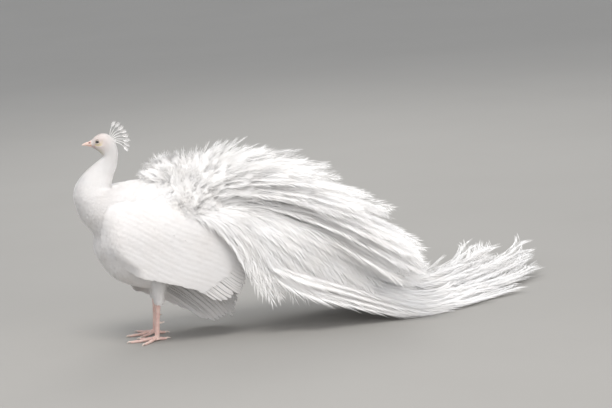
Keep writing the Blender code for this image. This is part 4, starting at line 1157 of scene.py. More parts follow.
def makeShoulderCoat(side, drop, mirror, rand):
    # rows of soft coverts over the arm, from the shoulder back over the long feathers' roots
    roots, ways, shares = [], [], []
    front = np.array(wing["covertFront" if side < 0 else "covertFrontFar"])
    rear = np.array(wing["covertRear"])
    first, growth = wing["covertFirst"], wing["covertLast"] - wing["covertFirst"]
    for row in range(wing["covertRows"]):
        r = row / (wing["covertRows"] - 1)
        count = int(wing["rowReach"] / (first + growth * r))
        stray = rand.uniform(-0.12, 0.12, count)
        t = np.clip((np.arange(count) + 0.5 * (row % 2) + stray) / count, 0, 1) * 3
        start, stop = curveThrough(front, t), curveThrough(rear, t)
        along = np.clip(r + rand.uniform(-0.012, 0.012, count), 0, 1)[:, None]
        roots.append(start + (stop - start) * along)
        ways.append(unit(stop - start) + np.stack([t * 0, -0.34 + 0.04 * t], -1))
        shares.append(np.full(count, r))
    flat, flatWay, share = np.concatenate(roots), np.concatenate(ways), np.concatenate(shares)
    x, z = flat[:, 0], lowered(flat[:, 1], drop)
    n = len(x)
    lie = wing["lie"] - (wing["lie"] - wing["lieRear"]) * np.clip((share - 0.7) / 0.3, 0, 1)
    beside, bodyFaces = bodySide(x, z) - wing["tuck"], bodySideNormal(x, z)
    tilts = bodyFaces[:, [0, 2]] / bodyFaces[:, 1:2]
    frontLine = curveThrough(front, np.linspace(0, 3, 40))
    frontX, frontZ = frontLine[:, 0], lowered(frontLine[:, 1], drop)

    def shoulderSurface(px, pz):
        # passes from the body's side to the wing's over the first rows
        step = np.clip((px - np.interp(pz, frontZ, frontX)) / wing["blend"], 0, 1)
        ease = softStep(step)
        bodyOut = beside[:, None] + tilts[:, :1] * (px - x[:, None]) + tilts[:, 1:] * (pz - z[:, None])
        gap = -flank(px, pz, lie[:, None])[..., 1] - bodyOut
        slope = (gap * 6 * step * (1 - step) / wing["blend"])[..., None]
        faces = unit(bodyFaces[:, None] * (1 - ease)[..., None] + flankNormal(px, pz) * ease[..., None])
        faces = unit(faces - np.array([0.3, 0, 0]) * slope)
        # long soft streaks run down and back over the coverts
        streakWay = np.array(wing["streakWay"])
        (many, bend), (few, sway) = wing["streakSets"]
        across = px * streakWay[0] + pz * streakWay[2]
        streak = 0.6 * np.sin(across * many + 2 * np.sin(px * bend))
        streak = streak + 0.4 * np.sin(across * few + 3 * np.sin(pz * sway))
        faces = faces + (streak * ease * wing["streaks"])[..., None] * streakWay
        return np.stack([px, -(bodyOut + gap * ease), pz], -1), unit(faces)

    def layDown(points):
        local = (points - birdFoot) * mirror
        places, faces = shoulderSurface(local[..., 0], local[..., 2])
        return places * mirror + birdFoot, faces * mirror

    at, normal = [a[:, 0] for a in shoulderSurface(x[:, None], z[:, None])]
    way = np.stack([flatWay[:, 0], np.zeros(n), flatWay[:, 1]], -1)
    way = unit(squareTo(way, normal))
    swing = rand.uniform(-wing["covertSwing"], wing["covertSwing"], n)
    way = unit(way + np.cross(normal, way) * swing[:, None])
    length = (first + growth * share) * rand.uniform(0.85, 1.15, n)
    depth = wing["covertDepth"] * rand.uniform(0.93, 1.0, n)
    uv = np.stack([0.30 + x, 0.30 + z * 0.5], -1)
    featherField("shoulderCoverts" + sideWord(side), at * mirror + birdFoot, way * mirror, normal * mirror,
                 length, length * wing["covertWidth"], depth, uv, frayedTemplate(5), whitePlumage,
                 wing["covertRelief"], wing["covertCup"], layDown)


def makeWing(side):
    rand = np.random.default_rng(wing["seed"] + side)
    drop = 0.0 if side < 0 else wing["farDrop"]
    mirror = (1, -1, 1) if side > 0 else (1, 1, 1)
    arm = makeWingArm(side, drop, mirror)
    for tierName, tier in wing["tiers"].items():
        paths, normals, widths, rootUv = tierFeathers(tier, drop, rand)
        made = closedVanes(tierName + "Feathers" + sideWord(side), paths * mirror + birdFoot,
                           normals * mirror, widths, rootUv)
        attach(made, "root")
    makeShoulderCoat(side, drop, mirror, rand)
    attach(arm, "root")
    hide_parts("wing_left" if side < 0 else "wing_right")


tail = {
    "count": 14, "length": 0.34, "width": 0.034, "steps": 11, "seed": 51,
    "root": (0.205, 0.030, 0.288),  # x, half spread and z of the roots
    "layer": 0.0012, "spread": math.radians(15), "bow": 0.012,
}


def makeTail():
    rand = np.random.default_rng(tail["seed"])
    rank = np.arange(tail["count"])
    out = (rank // 2 + 0.5) * np.where(rank % 2, 1, -1) / (tail["count"] / 2)
    yaw = tail["spread"] * out
    x, spread, z = tail["root"]
    root = np.stack([np.full(len(rank), x), spread * out, z - tail["layer"] * rank], -1)
    way = unit(np.stack([np.cos(yaw) * 0.93, np.sin(yaw), np.full(len(rank), -0.36)], -1))
    length = tail["length"] * (1 - 0.12 * out * out) * rand.uniform(0.98, 1.0, len(rank))
    s = np.linspace(0, 1, tail["steps"])
    paths = root[:, None] + way[:, None] * (length[:, None] * s)[..., None]
    paths[..., 2] += tail["bow"] * np.sin(np.pi * s)
    rounded = np.sqrt(np.clip(1 - np.clip((s - 0.8) / 0.202, 0, 1) ** 2.4, 0.01, 1))
    widths = np.broadcast_to(tail["width"] * np.minimum(1, 0.2 + 2.2 * s) * rounded, (len(rank), len(s)))
    normals = np.broadcast_to(np.array([0.0, 0, 1.0]), paths.shape)
    uv = np.stack([0.5 + out * 0.1, np.full(len(rank), 0.04)], -1)
    made = closedVanes("tailFeathers", paths + birdFoot, normals, widths, uv)
    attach(made, "root")
    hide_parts("tail")


# plumes with loose barbs: the train, the side plumes and the crest

def shaftMesh(paths, normals, start, end):
    # a three-sided shaft along each path, thinner to the tip
    n, k, _ = paths.shape
    forward = unit(np.gradient(paths, axis=1))
    side = unit(np.cross(forward, normals))
    up = np.cross(side, forward)
    radius = np.linspace(start, end, k)[None, :, None]
    corners = [paths + side * radius, paths - side * radius * 0.5 + up * radius * 0.87,
               paths - side * radius * 0.5 - up * radius * 0.87]
    points = np.stack(corners, 2).reshape(-1, 3)
    tris = []
    for i in range(k - 1):
        for c in range(3):
            a, b = 3 * i + c, 3 * i + (c + 1) % 3
            tris += [(a, b + 3, b), (a, a + 3, b + 3)]
    last = 3 * (k - 1)
    tris += [(0, 1, 2), (last, last + 2, last + 1)]
    return points, (np.arange(n)[:, None, None] * (3 * k) + np.array(tris)[None]).reshape(-1, 3)


def barbReach(half, start, over, s, n):
    # how far the barbs reach along n plumes: short at the root, in full a little further on
    return half * np.sin(np.pi / 2 * np.minimum(1, start + s / over))[None] * np.ones((n, 1))


def barbMesh(paths, normals, half, look, rand):
    # barbs on both sides of each shaft: closed slivers that bend once, widest in the middle
    n, k, _ = paths.shape
    forward = unit(np.gradient(paths, axis=1))
    length = np.sum(np.linalg.norm(np.diff(paths, axis=1), axis=-1), 1)
    counts = np.maximum(6, (length * (1 - look["bare"]) / look["spacing"]).astype(int))
    owner = np.repeat(np.arange(n), counts)
    order = np.arange(counts.sum()) - np.repeat(np.cumsum(counts) - counts, counts)
    t = look["bare"] + (1 - look["bare"]) * (order + rand.uniform(0.1, 0.9, len(order))) / counts[owner]
    t = np.concatenate([t, np.clip(t + rand.normal(0, 0.002, len(t)), 0, 1)])
    owner = np.concatenate([owner, owner])
    sign = np.concatenate([np.ones(len(order)), -np.ones(len(order))])
    place = np.clip(t, 0, 0.9999) * (k - 1)
    i = place.astype(int)
    f = (place - i)[:, None]

    def atRoots(rows):
        return rows[owner, i] * (1 - f) + rows[owner, i + 1] * f

    root, ahead, faceWay = atRoots(paths), unit(atRoots(forward)), unit(atRoots(normals))
    reach = atRoots(half[..., None])[:, 0]
    side = unit(np.cross(ahead, faceWay))
    up = np.cross(side, ahead)
    phase = rand.uniform(0, 2 * np.pi, (n, 4))[owner]
    lock = t * look["locks"]
    clump = np.sin(lock * 2 * np.pi + phase[:, 0] + sign) * np.sin(lock * 3.7 + phase[:, 1])
    tipShare = np.clip((t - look["tipFrom"]) / (1 - look["tipFrom"]), 0, 1)
    slant = np.radians(look["slant"] + look["clump"] * clump + rand.normal(0, look["stray"], len(t)))
    tipTurn = rand.uniform(look.get("fork", 0.1), 1.0, len(t))
    slant = slant * (1 - tipShare) + np.radians(look["tipSlant"]) * tipTurn * tipShare
    barb = reach / np.maximum(np.sin(np.radians(look["slant"])), 0.2) * rand.uniform(0.72, 1.12, len(t))
    barb = barb * (1 - tipShare) + look["tipLength"] * rand.uniform(0.7, 1.1, len(t)) * tipShare

    def heading(angle, lift):
        out = side * (np.sin(angle) * sign)[:, None]
        return unit(ahead * np.cos(angle)[:, None] + out + up * lift[:, None])

    lift = look["lift"] + look["ruffle"] * (clump + rand.normal(0, 0.5, len(t)))
    firstWay = heading(slant, lift)
    bend = np.radians(look["bend"]) * (1 - tipShare)
    secondWay = heading(slant - bend, lift * look["curl"] + rand.normal(0, look["ruffle"], len(t)))
    fall = look["droop"] * rand.uniform(0.5, 1.5, len(t))
    secondWay = unit(secondWay - np.array([0, 0, 1.0]) * fall[:, None])
    middle = root + firstWay * (barb * 0.45)[:, None]
    tip = middle + secondWay * (barb * 0.55)[:, None]
    width = look["width"] * rand.uniform(0.75, 1.25, len(t)) * (1 - 0.3 * tipShare)
    wide, thick = unit(np.cross(firstWay, up)) * (width / 2)[:, None], up * 0.0006
    points = np.stack([root, middle - wide, middle + wide, middle + thick, tip], 1)
    tris = np.array([(0, 1, 2), (0, 3, 1), (0, 2, 3), (1, 4, 2), (3, 4, 1), (2, 4, 3)])
    faces = np.arange(len(t))[:, None, None] * 5 + tris[None]
    # shading that leans upwards stands for a little of the light that comes through
    vee = side * (sign * look.get("vee", 0.20))[:, None]
    soft = unit(up + vee + rand.normal(0, 0.05, up.shape) + np.array([0, 0, 0.15]))
    return points.reshape(-1, 3), faces.reshape(-1, 3), np.repeat(owner, 5), np.repeat(t, 5), soft


def makePlumes(name, paths, normals, half, look, rand, rootUv):
    shaft, shaftTris = shaftMesh(paths, normals, look["shaft"], look["shaft"] * 0.35)
    barbs, barbTris, owner, t, soft = barbMesh(paths, normals, half, look, rand)
    shaftUv = np.repeat(rootUv, 3 * paths.shape[1], axis=0)
    barbUv = rootUv[owner] + np.stack([(t - 0.5) * 0.0028, np.zeros(len(t))], -1)
    barbUv[:, 1] += np.tile([0, 0.0005, 0.0006, 0.0009, 0.0014], len(t) // 5) - 0.0007
    # barbs that reach the floor lie on it at slightly different heights, plume by plume
    barbs[:, 2] = np.maximum(barbs[:, 2], 0.0006 + 0.0030 * ((owner * 37) % 100) / 100)
    points = np.concatenate([shaft, barbs])
    tris = np.concatenate([shaftTris, barbTris + len(shaft)])
    piece = meshFromArrays(name, points, tris, silkPlumage, np.concatenate([shaftUv, barbUv]))
    # a barb is shaded as part of its plume's own surface, seen from above or from below
    corner = shaft[shaftTris]
    flat = unit(np.cross(corner[:, 1] - corner[:, 0], corner[:, 2] - corner[:, 0]))
    turned = np.tile(np.repeat([-1.0, 1.0, 1.0, -1.0, 1.0, 1.0], 3), len(soft))
    shades = np.concatenate([np.repeat(flat, 3, axis=0), np.repeat(soft, 18, axis=0) * turned[:, None]])
    piece.data.normals_split_custom_set(shades.tolist())
    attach(piece, "root")
    return piece


train = {
    "centre": (0.130, 0.0, 0.446),
    # length, lift at the top and at the sides and splay in degrees, count a side, from the front row back
    "rows": ((0.165, 153, 108, 44, 3), (0.138, 128, 68, 52, 4), (0.130, 96, 38, 56, 4),
             (0.168, 62, 8, 54, 4), (0.250, 35, -8, 48, 5), (0.345, 18, -15, 41, 5),
             (0.450, 5, -19, 35, 5), (0.560, -6, -22, 30, 5), (0.670, -15, -24, 26, 5),
             (0.775, -21, -25, 22, 4)),
    "sideReach": 0.55, "longest": 0.80, "drawIn": 0.32, "bow": 0.10,
    "rowCount": 24, "denser": 1.5, "clock": math.radians(92), "rootArc": math.radians(58),
    "rootFrom": 15.35, "rootTo": 17.25, "rootDepth": 0.014, "steps": 13, "half": 0.021, "seed": 61,
    # rows, as counted above, at which the middle and the rear feathers start
    "middleFrom": 4.6, "rearFrom": 7.2,
    "barbs": {
        "spacing": 0.0038, "bare": 0.04, "width": 0.0023, "slant": 19, "tipFrom": 0.86, "tipSlant": 45,
        "tipLength": 0.030, "bend": 8, "lift": 0.01, "curl": 1.6, "droop": 0.03, "locks": 5, "clump": 2,
        "stray": 2.0, "ruffle": 0.015, "shaft": 0.0009,
    },
    # what is different for the raised feathers in front and for those behind them
    "frontBarbs": {
        "spacing": 0.0026, "curl": 3.0, "lift": 0.03, "width": 0.0017, "slant": 24, "tipFrom": 0.72,
        "tipSlant": 62, "tipLength": 0.024,
    },
    "middleBarbs": {"spacing": 0.0035, "width": 0.0020, "tipFrom": 0.80, "tipSlant": 54, "tipLength": 0.028},
}


def fanPlumes():
    # the raised feathers of the back and the front of the train, spread from the rump
    rand = np.random.default_rng(train["seed"])
    rows = np.array(train["rows"], float)
    rowAt, share = [], []
    for k in range(train["rowCount"]):
        r = k / (train["rowCount"] - 1) * (len(rows) - 1)
        count = int(round(2 * train["denser"] * curveThrough(rows, r)[4]))
        places = (np.arange(count) + 0.5 + 0.25 * (-1) ** k) / count * 2 - 1
        rowAt.append(np.full(count, r) + rand.uniform(-0.2, 0.2, count))
        share.append(places + rand.uniform(-0.3, 0.3, count) / count)
    rowAt = np.clip(np.concatenate(rowAt), 0, len(rows) - 1)
    share = np.clip(np.concatenate(share), -1, 1)
    n = len(rowAt)
    reach, top, low, splay, _ = curveThrough(rows, rowAt).T
    clock = train["clock"] * share
    lift = np.radians(low + (top - low) * np.cos(clock) + rand.normal(0, 1.8, n))
    swing = np.radians(splay) * np.sin(clock) + rand.normal(0, 0.03, n)
    way = np.stack([np.cos(swing) * np.cos(lift), -np.sin(swing), np.cos(swing) * np.sin(lift)], -1)
    rootU = train["rootFrom"] + (train["rootTo"] - train["rootFrom"]) * rowAt / (len(rows) - 1)
    rootAngle = train["rootArc"] * share
    skin, _, outward = bodyFrame(rootU, rootAngle)
    start = skin - outward * train["rootDepth"] + (0.006, 0, 0)
    # towards the sides the feathers grow longer, but no wider apart
    behind = np.clip((rowAt - 2.5) / 1.5, 0, 1)
    grown = 1 + train["sideReach"] * behind * np.abs(share) ** 1.5
    grown = np.maximum(1, np.minimum(grown, train["longest"] / reach))
    drawn = 1 - train["drawIn"] * behind * np.abs(share) ** 3
    stretch = np.stack([grown, drawn, grown], -1)
    length = (reach * rand.uniform(0.90, 1.03, n))[:, None]
    tip = np.array(train["centre"]) + birdFoot + way * stretch * length
    chord = tip - skin
    chordWay = unit(chord)
    over = np.array([0, 0, 1.0]) - chordWay * chordWay[:, 2:]
    lead = skin + outward * 0.006 + chordWay * 0.014
    size = np.linalg.norm(chord, axis=1)[:, None]
    middle = skin + chord * 0.5 + over * train["bow"] * size - chord * (0, 0.10, 0)
    stops = np.stack([start, lead, middle, tip], 1)
    s = np.linspace(0, 1, train["steps"])
    paths = curveThrough(stops, s * 3)
    sideways = -np.sin(clock) - 0.3 * np.sign(share)
    normals = unit(np.stack([-np.sin(lift) * np.cos(swing), sideways, np.abs(np.cos(lift)) + 0.2], -1))
    normals = np.repeat(normals[:, None], train["steps"], 1)
    half = barbReach(train["half"], 0.15, 0.35, s, n) * np.clip(reach / 0.17, 0.9, 1.2)[:, None]
    return rowAt, share, paths, normals, half, bodyUv(rootU, rootAngle)


def makeFans():
    rand = np.random.default_rng(train["seed"] + 1)
    rowAt, share, paths, normals, half, uv = fanPlumes()
    middle, rear = rowAt >= train["middleFrom"], rowAt >= train["rearFrom"]
    parts = (
        ("Front", ~middle, dict(train["barbs"], **train["frontBarbs"])),
        ("Middle", middle & ~rear, dict(train["barbs"], **train["middleBarbs"])),
        ("Rear", rear, train["barbs"]),
    )
    for word, side in (("Left", share >= 0), ("Right", share < 0)):
        for part, rows, look in parts:
            mine = side & rows
            name = "train" + part + word
            piece = makePlumes(name, paths[mine], normals[mine], half[mine], look, rand, uv[mine])
            if part == "Front":
                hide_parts("train_left" if word == "Left" else "train_right")
    makeDomeVanes(rowAt, paths, normals, uv)


domeVanes = {
    "count": 2600, "rowsTo": 5.2, "from": 0.06, "to": 0.66, "shortest": 0.045, "longest": 0.080,
    "width": 0.30, "depth": 0.003, "shift": 0.006, "swing": 0.10, "relief": 1.5, "skyward": 0.8,
}


def makeDomeVanes(rowAt, paths, normals, uv):
    # broad soft feathers that overlap up the dome, between the shafts of the raised ones
    rand = np.random.default_rng(train["seed"] + 2)
    front = np.flatnonzero(rowAt < domeVanes["rowsTo"])
    pick = front[rand.integers(0, len(front), domeVanes["count"])]
    n = len(pick)
    last = paths.shape[1] - 1
    s = rand.uniform(domeVanes["from"], domeVanes["to"], n) * last
    at = np.stack([curveThrough(paths[k], s[i]) for i, k in enumerate(pick)])
    ahead = np.stack([curveThrough(paths[k], s[i] + 0.3) for i, k in enumerate(pick)])
    way = unit(ahead - at)
    normal = unit(squareTo(normals[pick, 0], way))
    side = np.cross(normal, way)
    at = at + side * rand.normal(0, domeVanes["shift"], n)[:, None]
    way = unit(way + side * rand.normal(0, domeVanes["swing"], n)[:, None])
    length = rand.uniform(domeVanes["shortest"], domeVanes["longest"], n)
    featherField("domeVanes", at, way, normal, length, domeVanes["width"] * length, domeVanes["depth"],
                 uv[pick], frayedTemplate(9), silkPlumage, domeVanes["relief"], skyward=domeVanes["skyward"])


longTrain = {
    "rows": 3, "across": 36, "rootArc": math.radians(84), "steps": 29, "layerStep": 0.0065, "topLayer": 2.5,
    "rootFrom": 0.35, "rootStep": 0.28,  # stations before the last one at which the layers' roots lie
    # stops between the root and the end: x, y, half spread, height, and what the arch adds to the
    # height, and the layer, and both together
    "stops": (
        (0.400, 0.0, 0.170, 0.150, 0.125, 0.012, 0.0),
        (0.600, 0.0, 0.165, 0.060, 0.100, 0.012, 0.0),
        (0.840, 0.020, 0.155, 0.0, 0.0, 0.0, 0.030),
        (1.070, 0.170, 0.180, 0.0, 0.0, 0.0, 0.024),
    ),
    "end": (1.500, 0.580, 0.034), "endNear": (-0.200, -0.440, -0.026), "endFar": (-0.330, -0.060, 0.010),
    "shares": (1.0, 0.92, 0.82), "half": 0.022, "seed": 71,
    "wave": 0.006, "looseFrom": 0.66, "parting": 0.030, "endCurl": 0.085,
    # x and y past which the ends draw together, and how much further they go
    "easeEnds": ((1.300, 0.120), (0.430, 0.075)),
    "barbs": {
        "spacing": 0.0058, "bare": 0.05, "width": 0.0027, "slant": 13, "tipFrom": 0.950, "tipSlant": 46,
        "tipLength": 0.046, "fork": 0.65, "bend": 4, "lift": 0.01, "curl": 1.0, "droop": 0.05, "locks": 9,
        "clump": 2.5, "stray": 1.5, "ruffle": 0.010, "shaft": 0.0010,
    },
}


def longRoot(lateral, layer):
    # station and angle on the body of a long feather's root
    station = lastStation - longTrain["rootFrom"] - longTrain["rootStep"] * layer
    return station, -lateral * longTrain["rootArc"]


def longWay(lateral, layer):
    # stops along a long feather, from its root to the train's end
    skin, _, outward = bodyFrame(*longRoot(lateral, layer))
    skin = skin - birdFoot
    arch = 1 - np.abs(lateral) ** 1.4
    near, far = np.maximum(0, -lateral)[:, None], np.maximum(0, lateral)[:, None]
    stops = [skin - outward * train["rootDepth"], skin + outward * 0.006 + (0.014, 0, 0)]
    for x, y, spread, height, byArch, byLayer, byBoth in longTrain["stops"]:
        z = height + byArch * arch + byLayer * layer + byBoth * arch * layer
        stops.append(np.stack([np.full(len(lateral), x), y + spread * lateral, z], -1))
    end, endNear, endFar = [np.array(longTrain[key]) for key in ("end", "endNear", "endFar")]
    stops.append(end + endNear * near + endFar * far)
    return np.stack(stops, 1)


def makeLongTrain():
    rand = np.random.default_rng(longTrain["seed"])
    s = np.linspace(0, 1, longTrain["steps"])
    n = longTrain["across"]
    for row in range(longTrain["rows"]):
        lateral = np.clip(2 * (np.arange(n) + 0.5 + rand.uniform(-0.3, 0.3, n)) / n - 1, -1, 1)
        layer = np.minimum(row + rand.uniform(0, 1.0, n), longTrain["topLayer"])
        share = longTrain["shares"][row] * rand.uniform(0.90, 1.0, n)
        t = share[:, None] * s * 6
        paths, left, right = [
            np.stack([curveThrough(way, t[k]) for k, way in enumerate(longWay(lateral + shift, layer))])
            for shift in (0.0, -0.05, 0.05)]
        sway = np.sin(s * 9 + rand.uniform(0, 6.3, n)[:, None])
        paths[..., 1] += longTrain["wave"] * sway * np.minimum(1, 2 * s)
        # the ends part, and those of the far side curl up from the floor
        loose = np.clip((s - longTrain["looseFrom"]) / (1 - longTrain["looseFrom"]), 0, 1)[None] ** 2
        paths[..., 1] += loose * rand.normal(0, longTrain["parting"], (n, 1))
        curl = np.clip(0.30 + 0.70 * lateral, 0, 1) * rand.uniform(0, longTrain["endCurl"], n)
        curl = curl + rand.uniform(0, 0.012, n)
        rise = longTrain["layerStep"] * layer[:, None] * np.minimum(1, 2 * s) + loose * curl[:, None]
        paths[..., 2] = np.maximum(paths[..., 2], 0.0012) + rise
        for axis, (start, room) in enumerate(longTrain["easeEnds"]):
            over = np.maximum(paths[..., axis] - start, 0)
            paths[..., axis] = np.minimum(paths[..., axis], start) + room * np.tanh(over / (2 * room))
        forward = unit(np.gradient(paths, axis=1))
        side = unit(squareTo(right - left, forward))
        # plumes near the floor lie flat, so that their barbs stay above it
        limit = (paths[..., 2] - 0.0006) / longTrain["half"]
        side[..., 2] = np.clip(side[..., 2], -limit, limit)
        normals = unit(np.cross(forward, unit(side)))
        half = barbReach(longTrain["half"], 0.1, 0.22, s, n)
        piece = makePlumes("trailingTrain" + str(row + 1), paths + birdFoot, normals, half,
                           longTrain["barbs"], rand, bodyUv(*longRoot(lateral, layer)))
        if row == 0:
            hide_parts("train_long")


mantle = {
    "rows": 60, "inFirstRow": 72, "inLastRow": 50, "from": 12.3, "to": 16.4, "across": math.radians(66),
    "first": 0.028, "last": 0.095, "swing": 0.09, "relief": 1.2, "cup": 0.05, "skyward": 0.8, "seed": 91,
    # stations, and by how many degrees the feathers rise there
    "liftFrom": (12.5, 13.3, 14.0, 15.2, 16.4), "lifts": (2, 28, 54, 78, 88),
}


def makeMantle():
    # the lower back's feathers, lying flat in front and rising towards the raised ones
    rand = np.random.default_rng(mantle["seed"])
    us, angles, shares = [], [], []
    for row in range(mantle["rows"]):
        r = row / (mantle["rows"] - 1)
        count = int(mantle["inFirstRow"] - (mantle["inFirstRow"] - mantle["inLastRow"]) * r)
        places = (np.arange(count) + 0.5 * (row % 2) + rand.uniform(-0.3, 0.3, count)) / count * 2 - 1
        us.append(mantle["from"] + (mantle["to"] - mantle["from"]) * r + rand.uniform(-0.05, 0.05, count))
        angles.append(mantle["across"] * np.clip(places, -1, 1))
        shares.append(np.full(count, r))
    u, angle, share = np.concatenate(us), np.concatenate(angles), np.concatenate(shares)
    at, back, normal = bodyFrame(u, angle, -0.006)
    n = len(u)
    rise = np.interp(u, mantle["liftFrom"], mantle["lifts"]) * np.cos(angle) ** 0.8
    lift = np.radians(rise + rand.normal(0, 1.2, n))[:, None]
    swing = np.cross(normal, back) * rand.uniform(-mantle["swing"], mantle["swing"], n)[:, None]
    way = unit(back * np.cos(lift) + normal * np.sin(lift) + swing)
    face = unit(normal * np.cos(lift) - back * np.sin(lift))
    length = (mantle["first"] + (mantle["last"] - mantle["first"]) * share) * rand.uniform(0.8, 1.1, n)
    featherField("mantleFeathers", at, way, face, length, 0.009 + 0.13 * length, 0.006 + 0.003 * share,
                 bodyUv(u, angle), frayedTemplate(9), silkPlumage, mantle["relief"], mantle["cup"],
                 skyward=mantle["skyward"])


sidePlumes = {
    "count": 118, "steps": 17, "half": 0.021, "rootFrom": 14.9, "rootLength": 3.3, "seed": 101,
    # the foremost and the rearmost plume: x and z of three stops and the distance from the middle plane
    "fore": ((0.192, 0.376, 0.142), (0.262, 0.286, 0.148), (0.322, 0.116, 0.160)),
    "rear": ((0.345, 0.384, 0.112), (0.560, 0.284, 0.146), (0.870, 0.100, 0.120)),
    "farAhead": 0.035, "scatter": 0.006,
    "barbs": {
        "spacing": 0.0050, "bare": 0.03, "width": 0.0022, "slant": 17, "tipFrom": 0.80, "tipSlant": 34,
        "tipLength": 0.040, "bend": 5, "lift": 0.01, "curl": 1.4, "droop": 0.30, "locks": 5, "clump": 2,
        "stray": 3.0, "ruffle": 0.02, "shaft": 0.0008,
    },
}


def makeSidePlumes(side):
    # long plumes from the side of the rump, over the end of the wing and down beside the train
    rand = np.random.default_rng(sidePlumes["seed"] + side)
    n = sidePlumes["count"]
    v = np.clip((np.arange(n) + rand.uniform(0, 1, n)) / n, 0, 1) ** 0.9
    layer = rand.uniform(0, 1, n)
    u = sidePlumes["rootFrom"] + sidePlumes["rootLength"] * v
    angle = -side * (0.98 - 0.10 * v + rand.uniform(-0.12, 0.12, n))
    skin, _, outward = bodyFrame(u, angle)
    skin = skin - birdFoot
    stops = [skin - outward * 0.012, skin + outward * (0.012 + 0.006 * layer)[:, None] + (0.018, 0, 0)]
    for fore, rear in zip(sidePlumes["fore"], sidePlumes["rear"]):
        fore = np.array(fore) - (sidePlumes["farAhead"] if side > 0 else 0, 0, 0)
        stop = fore + (np.array(rear) - fore) * v[:, None]
        out = side * (stop[:, 2] + 0.010 * layer + rand.normal(0, 0.003, n))
        x = stop[:, 0] + rand.normal(0, sidePlumes["scatter"], n)
        z = stop[:, 1] + rand.normal(0, sidePlumes["scatter"], n)
        stops.append(np.stack([x, out, z], -1))
    reach = rand.uniform(0.84, 1.0, n)
    s = np.linspace(0, 1, sidePlumes["steps"])
    stops = np.stack(stops, 1)
    paths = np.stack([curveThrough(stops[k], s * 4 * reach[k]) for k in range(n)])
    paths[..., 2] = np.maximum(paths[..., 2], 0.012)
    normals = np.broadcast_to(unit(np.array([0.1, side * 1.0, 0.40])), paths.shape)
    half = barbReach(sidePlumes["half"], 0.15, 0.3, s, n)
    makePlumes("sidePlumes" + sideWord(side), paths + birdFoot, normals, half, sidePlumes["barbs"], rand,
               bodyUv(u, angle))


crest = {
    "root": (-0.0830, 0.6460), "length": 0.050, "count": 24, "high": math.radians(76),
    "low": math.radians(-40), "bunching": 0.82, "steps": 10, "half": 0.0062, "seed": 81,
    "barbs": {
        "spacing": 0.0011, "bare": 0.70, "width": 0.0009, "slant": 30, "tipFrom": 0.80, "tipSlant": 40,
        "tipLength": 0.0085, "bend": 8, "lift": 0.0, "curl": 1.0, "droop": 0.0, "locks": 3, "clump": 6,
        "stray": 4.0, "ruffle": 0.10, "vee": 0.6, "shaft": 0.0006,
    },
}


def makeCrest():
    # bare shafts in a fan, each ending in a small tuft
    rand = np.random.default_rng(crest["seed"])
    k = np.arange(crest["count"])
    bundle = np.round((k - 1) / 3) * 3 + 1  # the shafts stand in threes
    place = (1 - crest["bunching"]) * k + crest["bunching"] * bundle
    angle = crest["low"] + (crest["high"] - crest["low"]) * place / (crest["count"] - 1)
    stagger = np.sin(2.4 * k)
    n = len(k)
    way = unit(np.stack([np.cos(angle), 0.12 * stagger + rand.uniform(-0.05, 0.05, n), np.sin(angle)], -1))
    root = np.array([crest["root"][0], 0, crest["root"][1]])
    start = root + np.stack([-0.006 * np.sin(angle), 0.0060 * stagger, 0.008 * np.sin(angle) - 0.003], -1)
    length = crest["length"] * rand.uniform(0.93, 1.03, n)
    bend = np.stack([-np.sin(angle), np.zeros(n), np.cos(angle)], -1) * 0.004
    s = np.linspace(0, 1.0, crest["steps"])
    paths = (start[:, None] + way[:, None] * (length[:, None] * s)[..., None]
             + bend[:, None] * np.sin(np.pi * s)[None, :, None])
    normals = unit(np.stack([0.35 * rand.uniform(-1, 1, n), np.ones(n), np.zeros(n)], -1))
    normals = np.repeat(normals[:, None], crest["steps"], 1)
    turned = turnAbout(normals, body["headTurn"], (0.0, 0.0))
    half = np.full((n, crest["steps"]), crest["half"])
    uv = bodyUv(np.full(n, 3.2), 0.2 * stagger)
    makePlumes("crest", turnHead(paths), turned, half, crest["barbs"], rand, uv)


print("settings and materials ready")

makeSkin()
for sideSign in (-1, 1):
    makeEye(sideSign)
    makeLid(sideSign)
makeBillHalf(True)
makeBillHalf(False)
print("head, neck and trunk done")
for sideSign in (-1, 1):
    makeShank(sideSign)
    makeFoot(sideSign)
    makeThighCoat(sideSign)
print("legs done")
makeCoat()
print("small feathers done")
makeWing(-1)
makeWing(1)
makeTail()
print("wings and tail done")
makeMantle()
makeFans()
makeSidePlumes(-1)
makeSidePlumes(1)
makeLongTrain()
makeCrest()
print("train and crest done")


# floor, light and camera

studio = {
    "floorColour": (0.385, 0.375, 0.355), "floorShade": (0.36, 0.35, 0.33), "floorSize": 40.0,
    "worldColour": (0.82, 0.84, 0.88), "worldStrength": 0.87,
    "lightAim": (0, 0, 0.3),
    # place, diameter, power and colour
    "lights": {
        "keyLight": ((-1.4, -1.8, 4.6), 2.2, 112, (1.0, 0.965, 0.93)),
        "fillLight": ((2.4, -5.4, 2.0), 4.0, 112, (1.0, 0.96, 0.93)),
        "rimLight": ((0.8, 3.8, 3.4), 2.5, 60, (1.0, 0.98, 0.95)),
    },
}


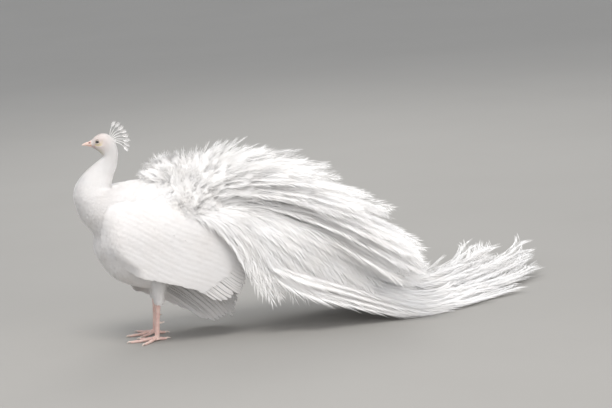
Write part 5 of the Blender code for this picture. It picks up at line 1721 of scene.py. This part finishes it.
def makeStudio():
    deselectAll()
    bpy.ops.mesh.primitive_plane_add(size=studio["floorSize"], location=(0, 0, 0))
    floor = bpy.context.object
    floor.name = floor.data.name = "studioFloor"
    floor.data.materials.append(makeMaterial("studioFloor", {
        "light": studio["floorColour"], "shade": studio["floorShade"], "cloudScale": 1.5, "contrast": 1.0,
        "roughness": 0.85, "specular": 0.15}))
    world = bpy.data.worlds.new("studioAir")
    world.use_nodes = True
    back = world.node_tree.nodes["Background"]
    back.inputs["Color"].default_value = (*studio["worldColour"], 1)
    back.inputs["Strength"].default_value = studio["worldStrength"]
    bpy.context.scene.world = world
    bpy.context.scene.view_settings.view_transform = "Standard"


def addSoftLight(name, place, size, power, colour):
    lamp = bpy.data.lights.new(name, "AREA")
    lamp.shape = "DISK"
    lamp.size = size
    lamp.energy = power
    lamp.color = colour
    holder = bpy.data.objects.new(name, lamp)
    holder.location = place
    holder.rotation_euler = (Vector(studio["lightAim"]) - Vector(place)).to_track_quat("-Z", "Y").to_euler()
    bpy.context.scene.collection.objects.link(holder)


photoCamera = {
    "azimuth": math.radians(-12), "elevation": math.radians(10), "roll": math.radians(4), "distance": 9.5,
    "width": 612, "height": 408, "pixelsPerMetre": 318.0, "sensor": 36.0,
    "footPixel": (157, 341),  # where the near foot stands in the photograph
    "nearFoot": -0.055,
}


def makeCamera():
    azimuth, elevation, roll = [photoCamera[key] for key in ("azimuth", "elevation", "roll")]
    width, height, scale = [photoCamera[key] for key in ("width", "height", "pixelsPerMetre")]
    distance, (footX, footY) = photoCamera["distance"], photoCamera["footPixel"]
    forward = Vector((-math.sin(azimuth) * math.cos(elevation), math.cos(azimuth) * math.cos(elevation),
                      -math.sin(elevation)))
    level = Vector((math.cos(azimuth), math.sin(azimuth), 0))
    upright = level.cross(forward)
    right = level * math.cos(roll) - upright * math.sin(roll)
    up = upright * math.cos(roll) + level * math.sin(roll)
    footAt = Vector(birdFoot) + Vector((0, photoCamera["nearFoot"], 0))
    aim = footAt - right * ((footX - width / 2) / scale) + up * ((footY - height / 2) / scale)
    lens = bpy.data.cameras.new("photoCamera")
    lens.sensor_width = photoCamera["sensor"]
    lens.lens = photoCamera["sensor"] * distance * scale / width
    camera = bpy.data.objects.new("photoCamera", lens)
    turn = Matrix((right, up, -forward)).transposed()
    camera.matrix_world = Matrix.Translation(aim - forward * distance) @ turn.to_4x4()
    bpy.context.scene.collection.objects.link(camera)
    bpy.context.scene.camera = camera


makeStudio()
for lightName, settings in studio["lights"].items():
    addSoftLight(lightName, *settings)
makeCamera()
print("studio ready")
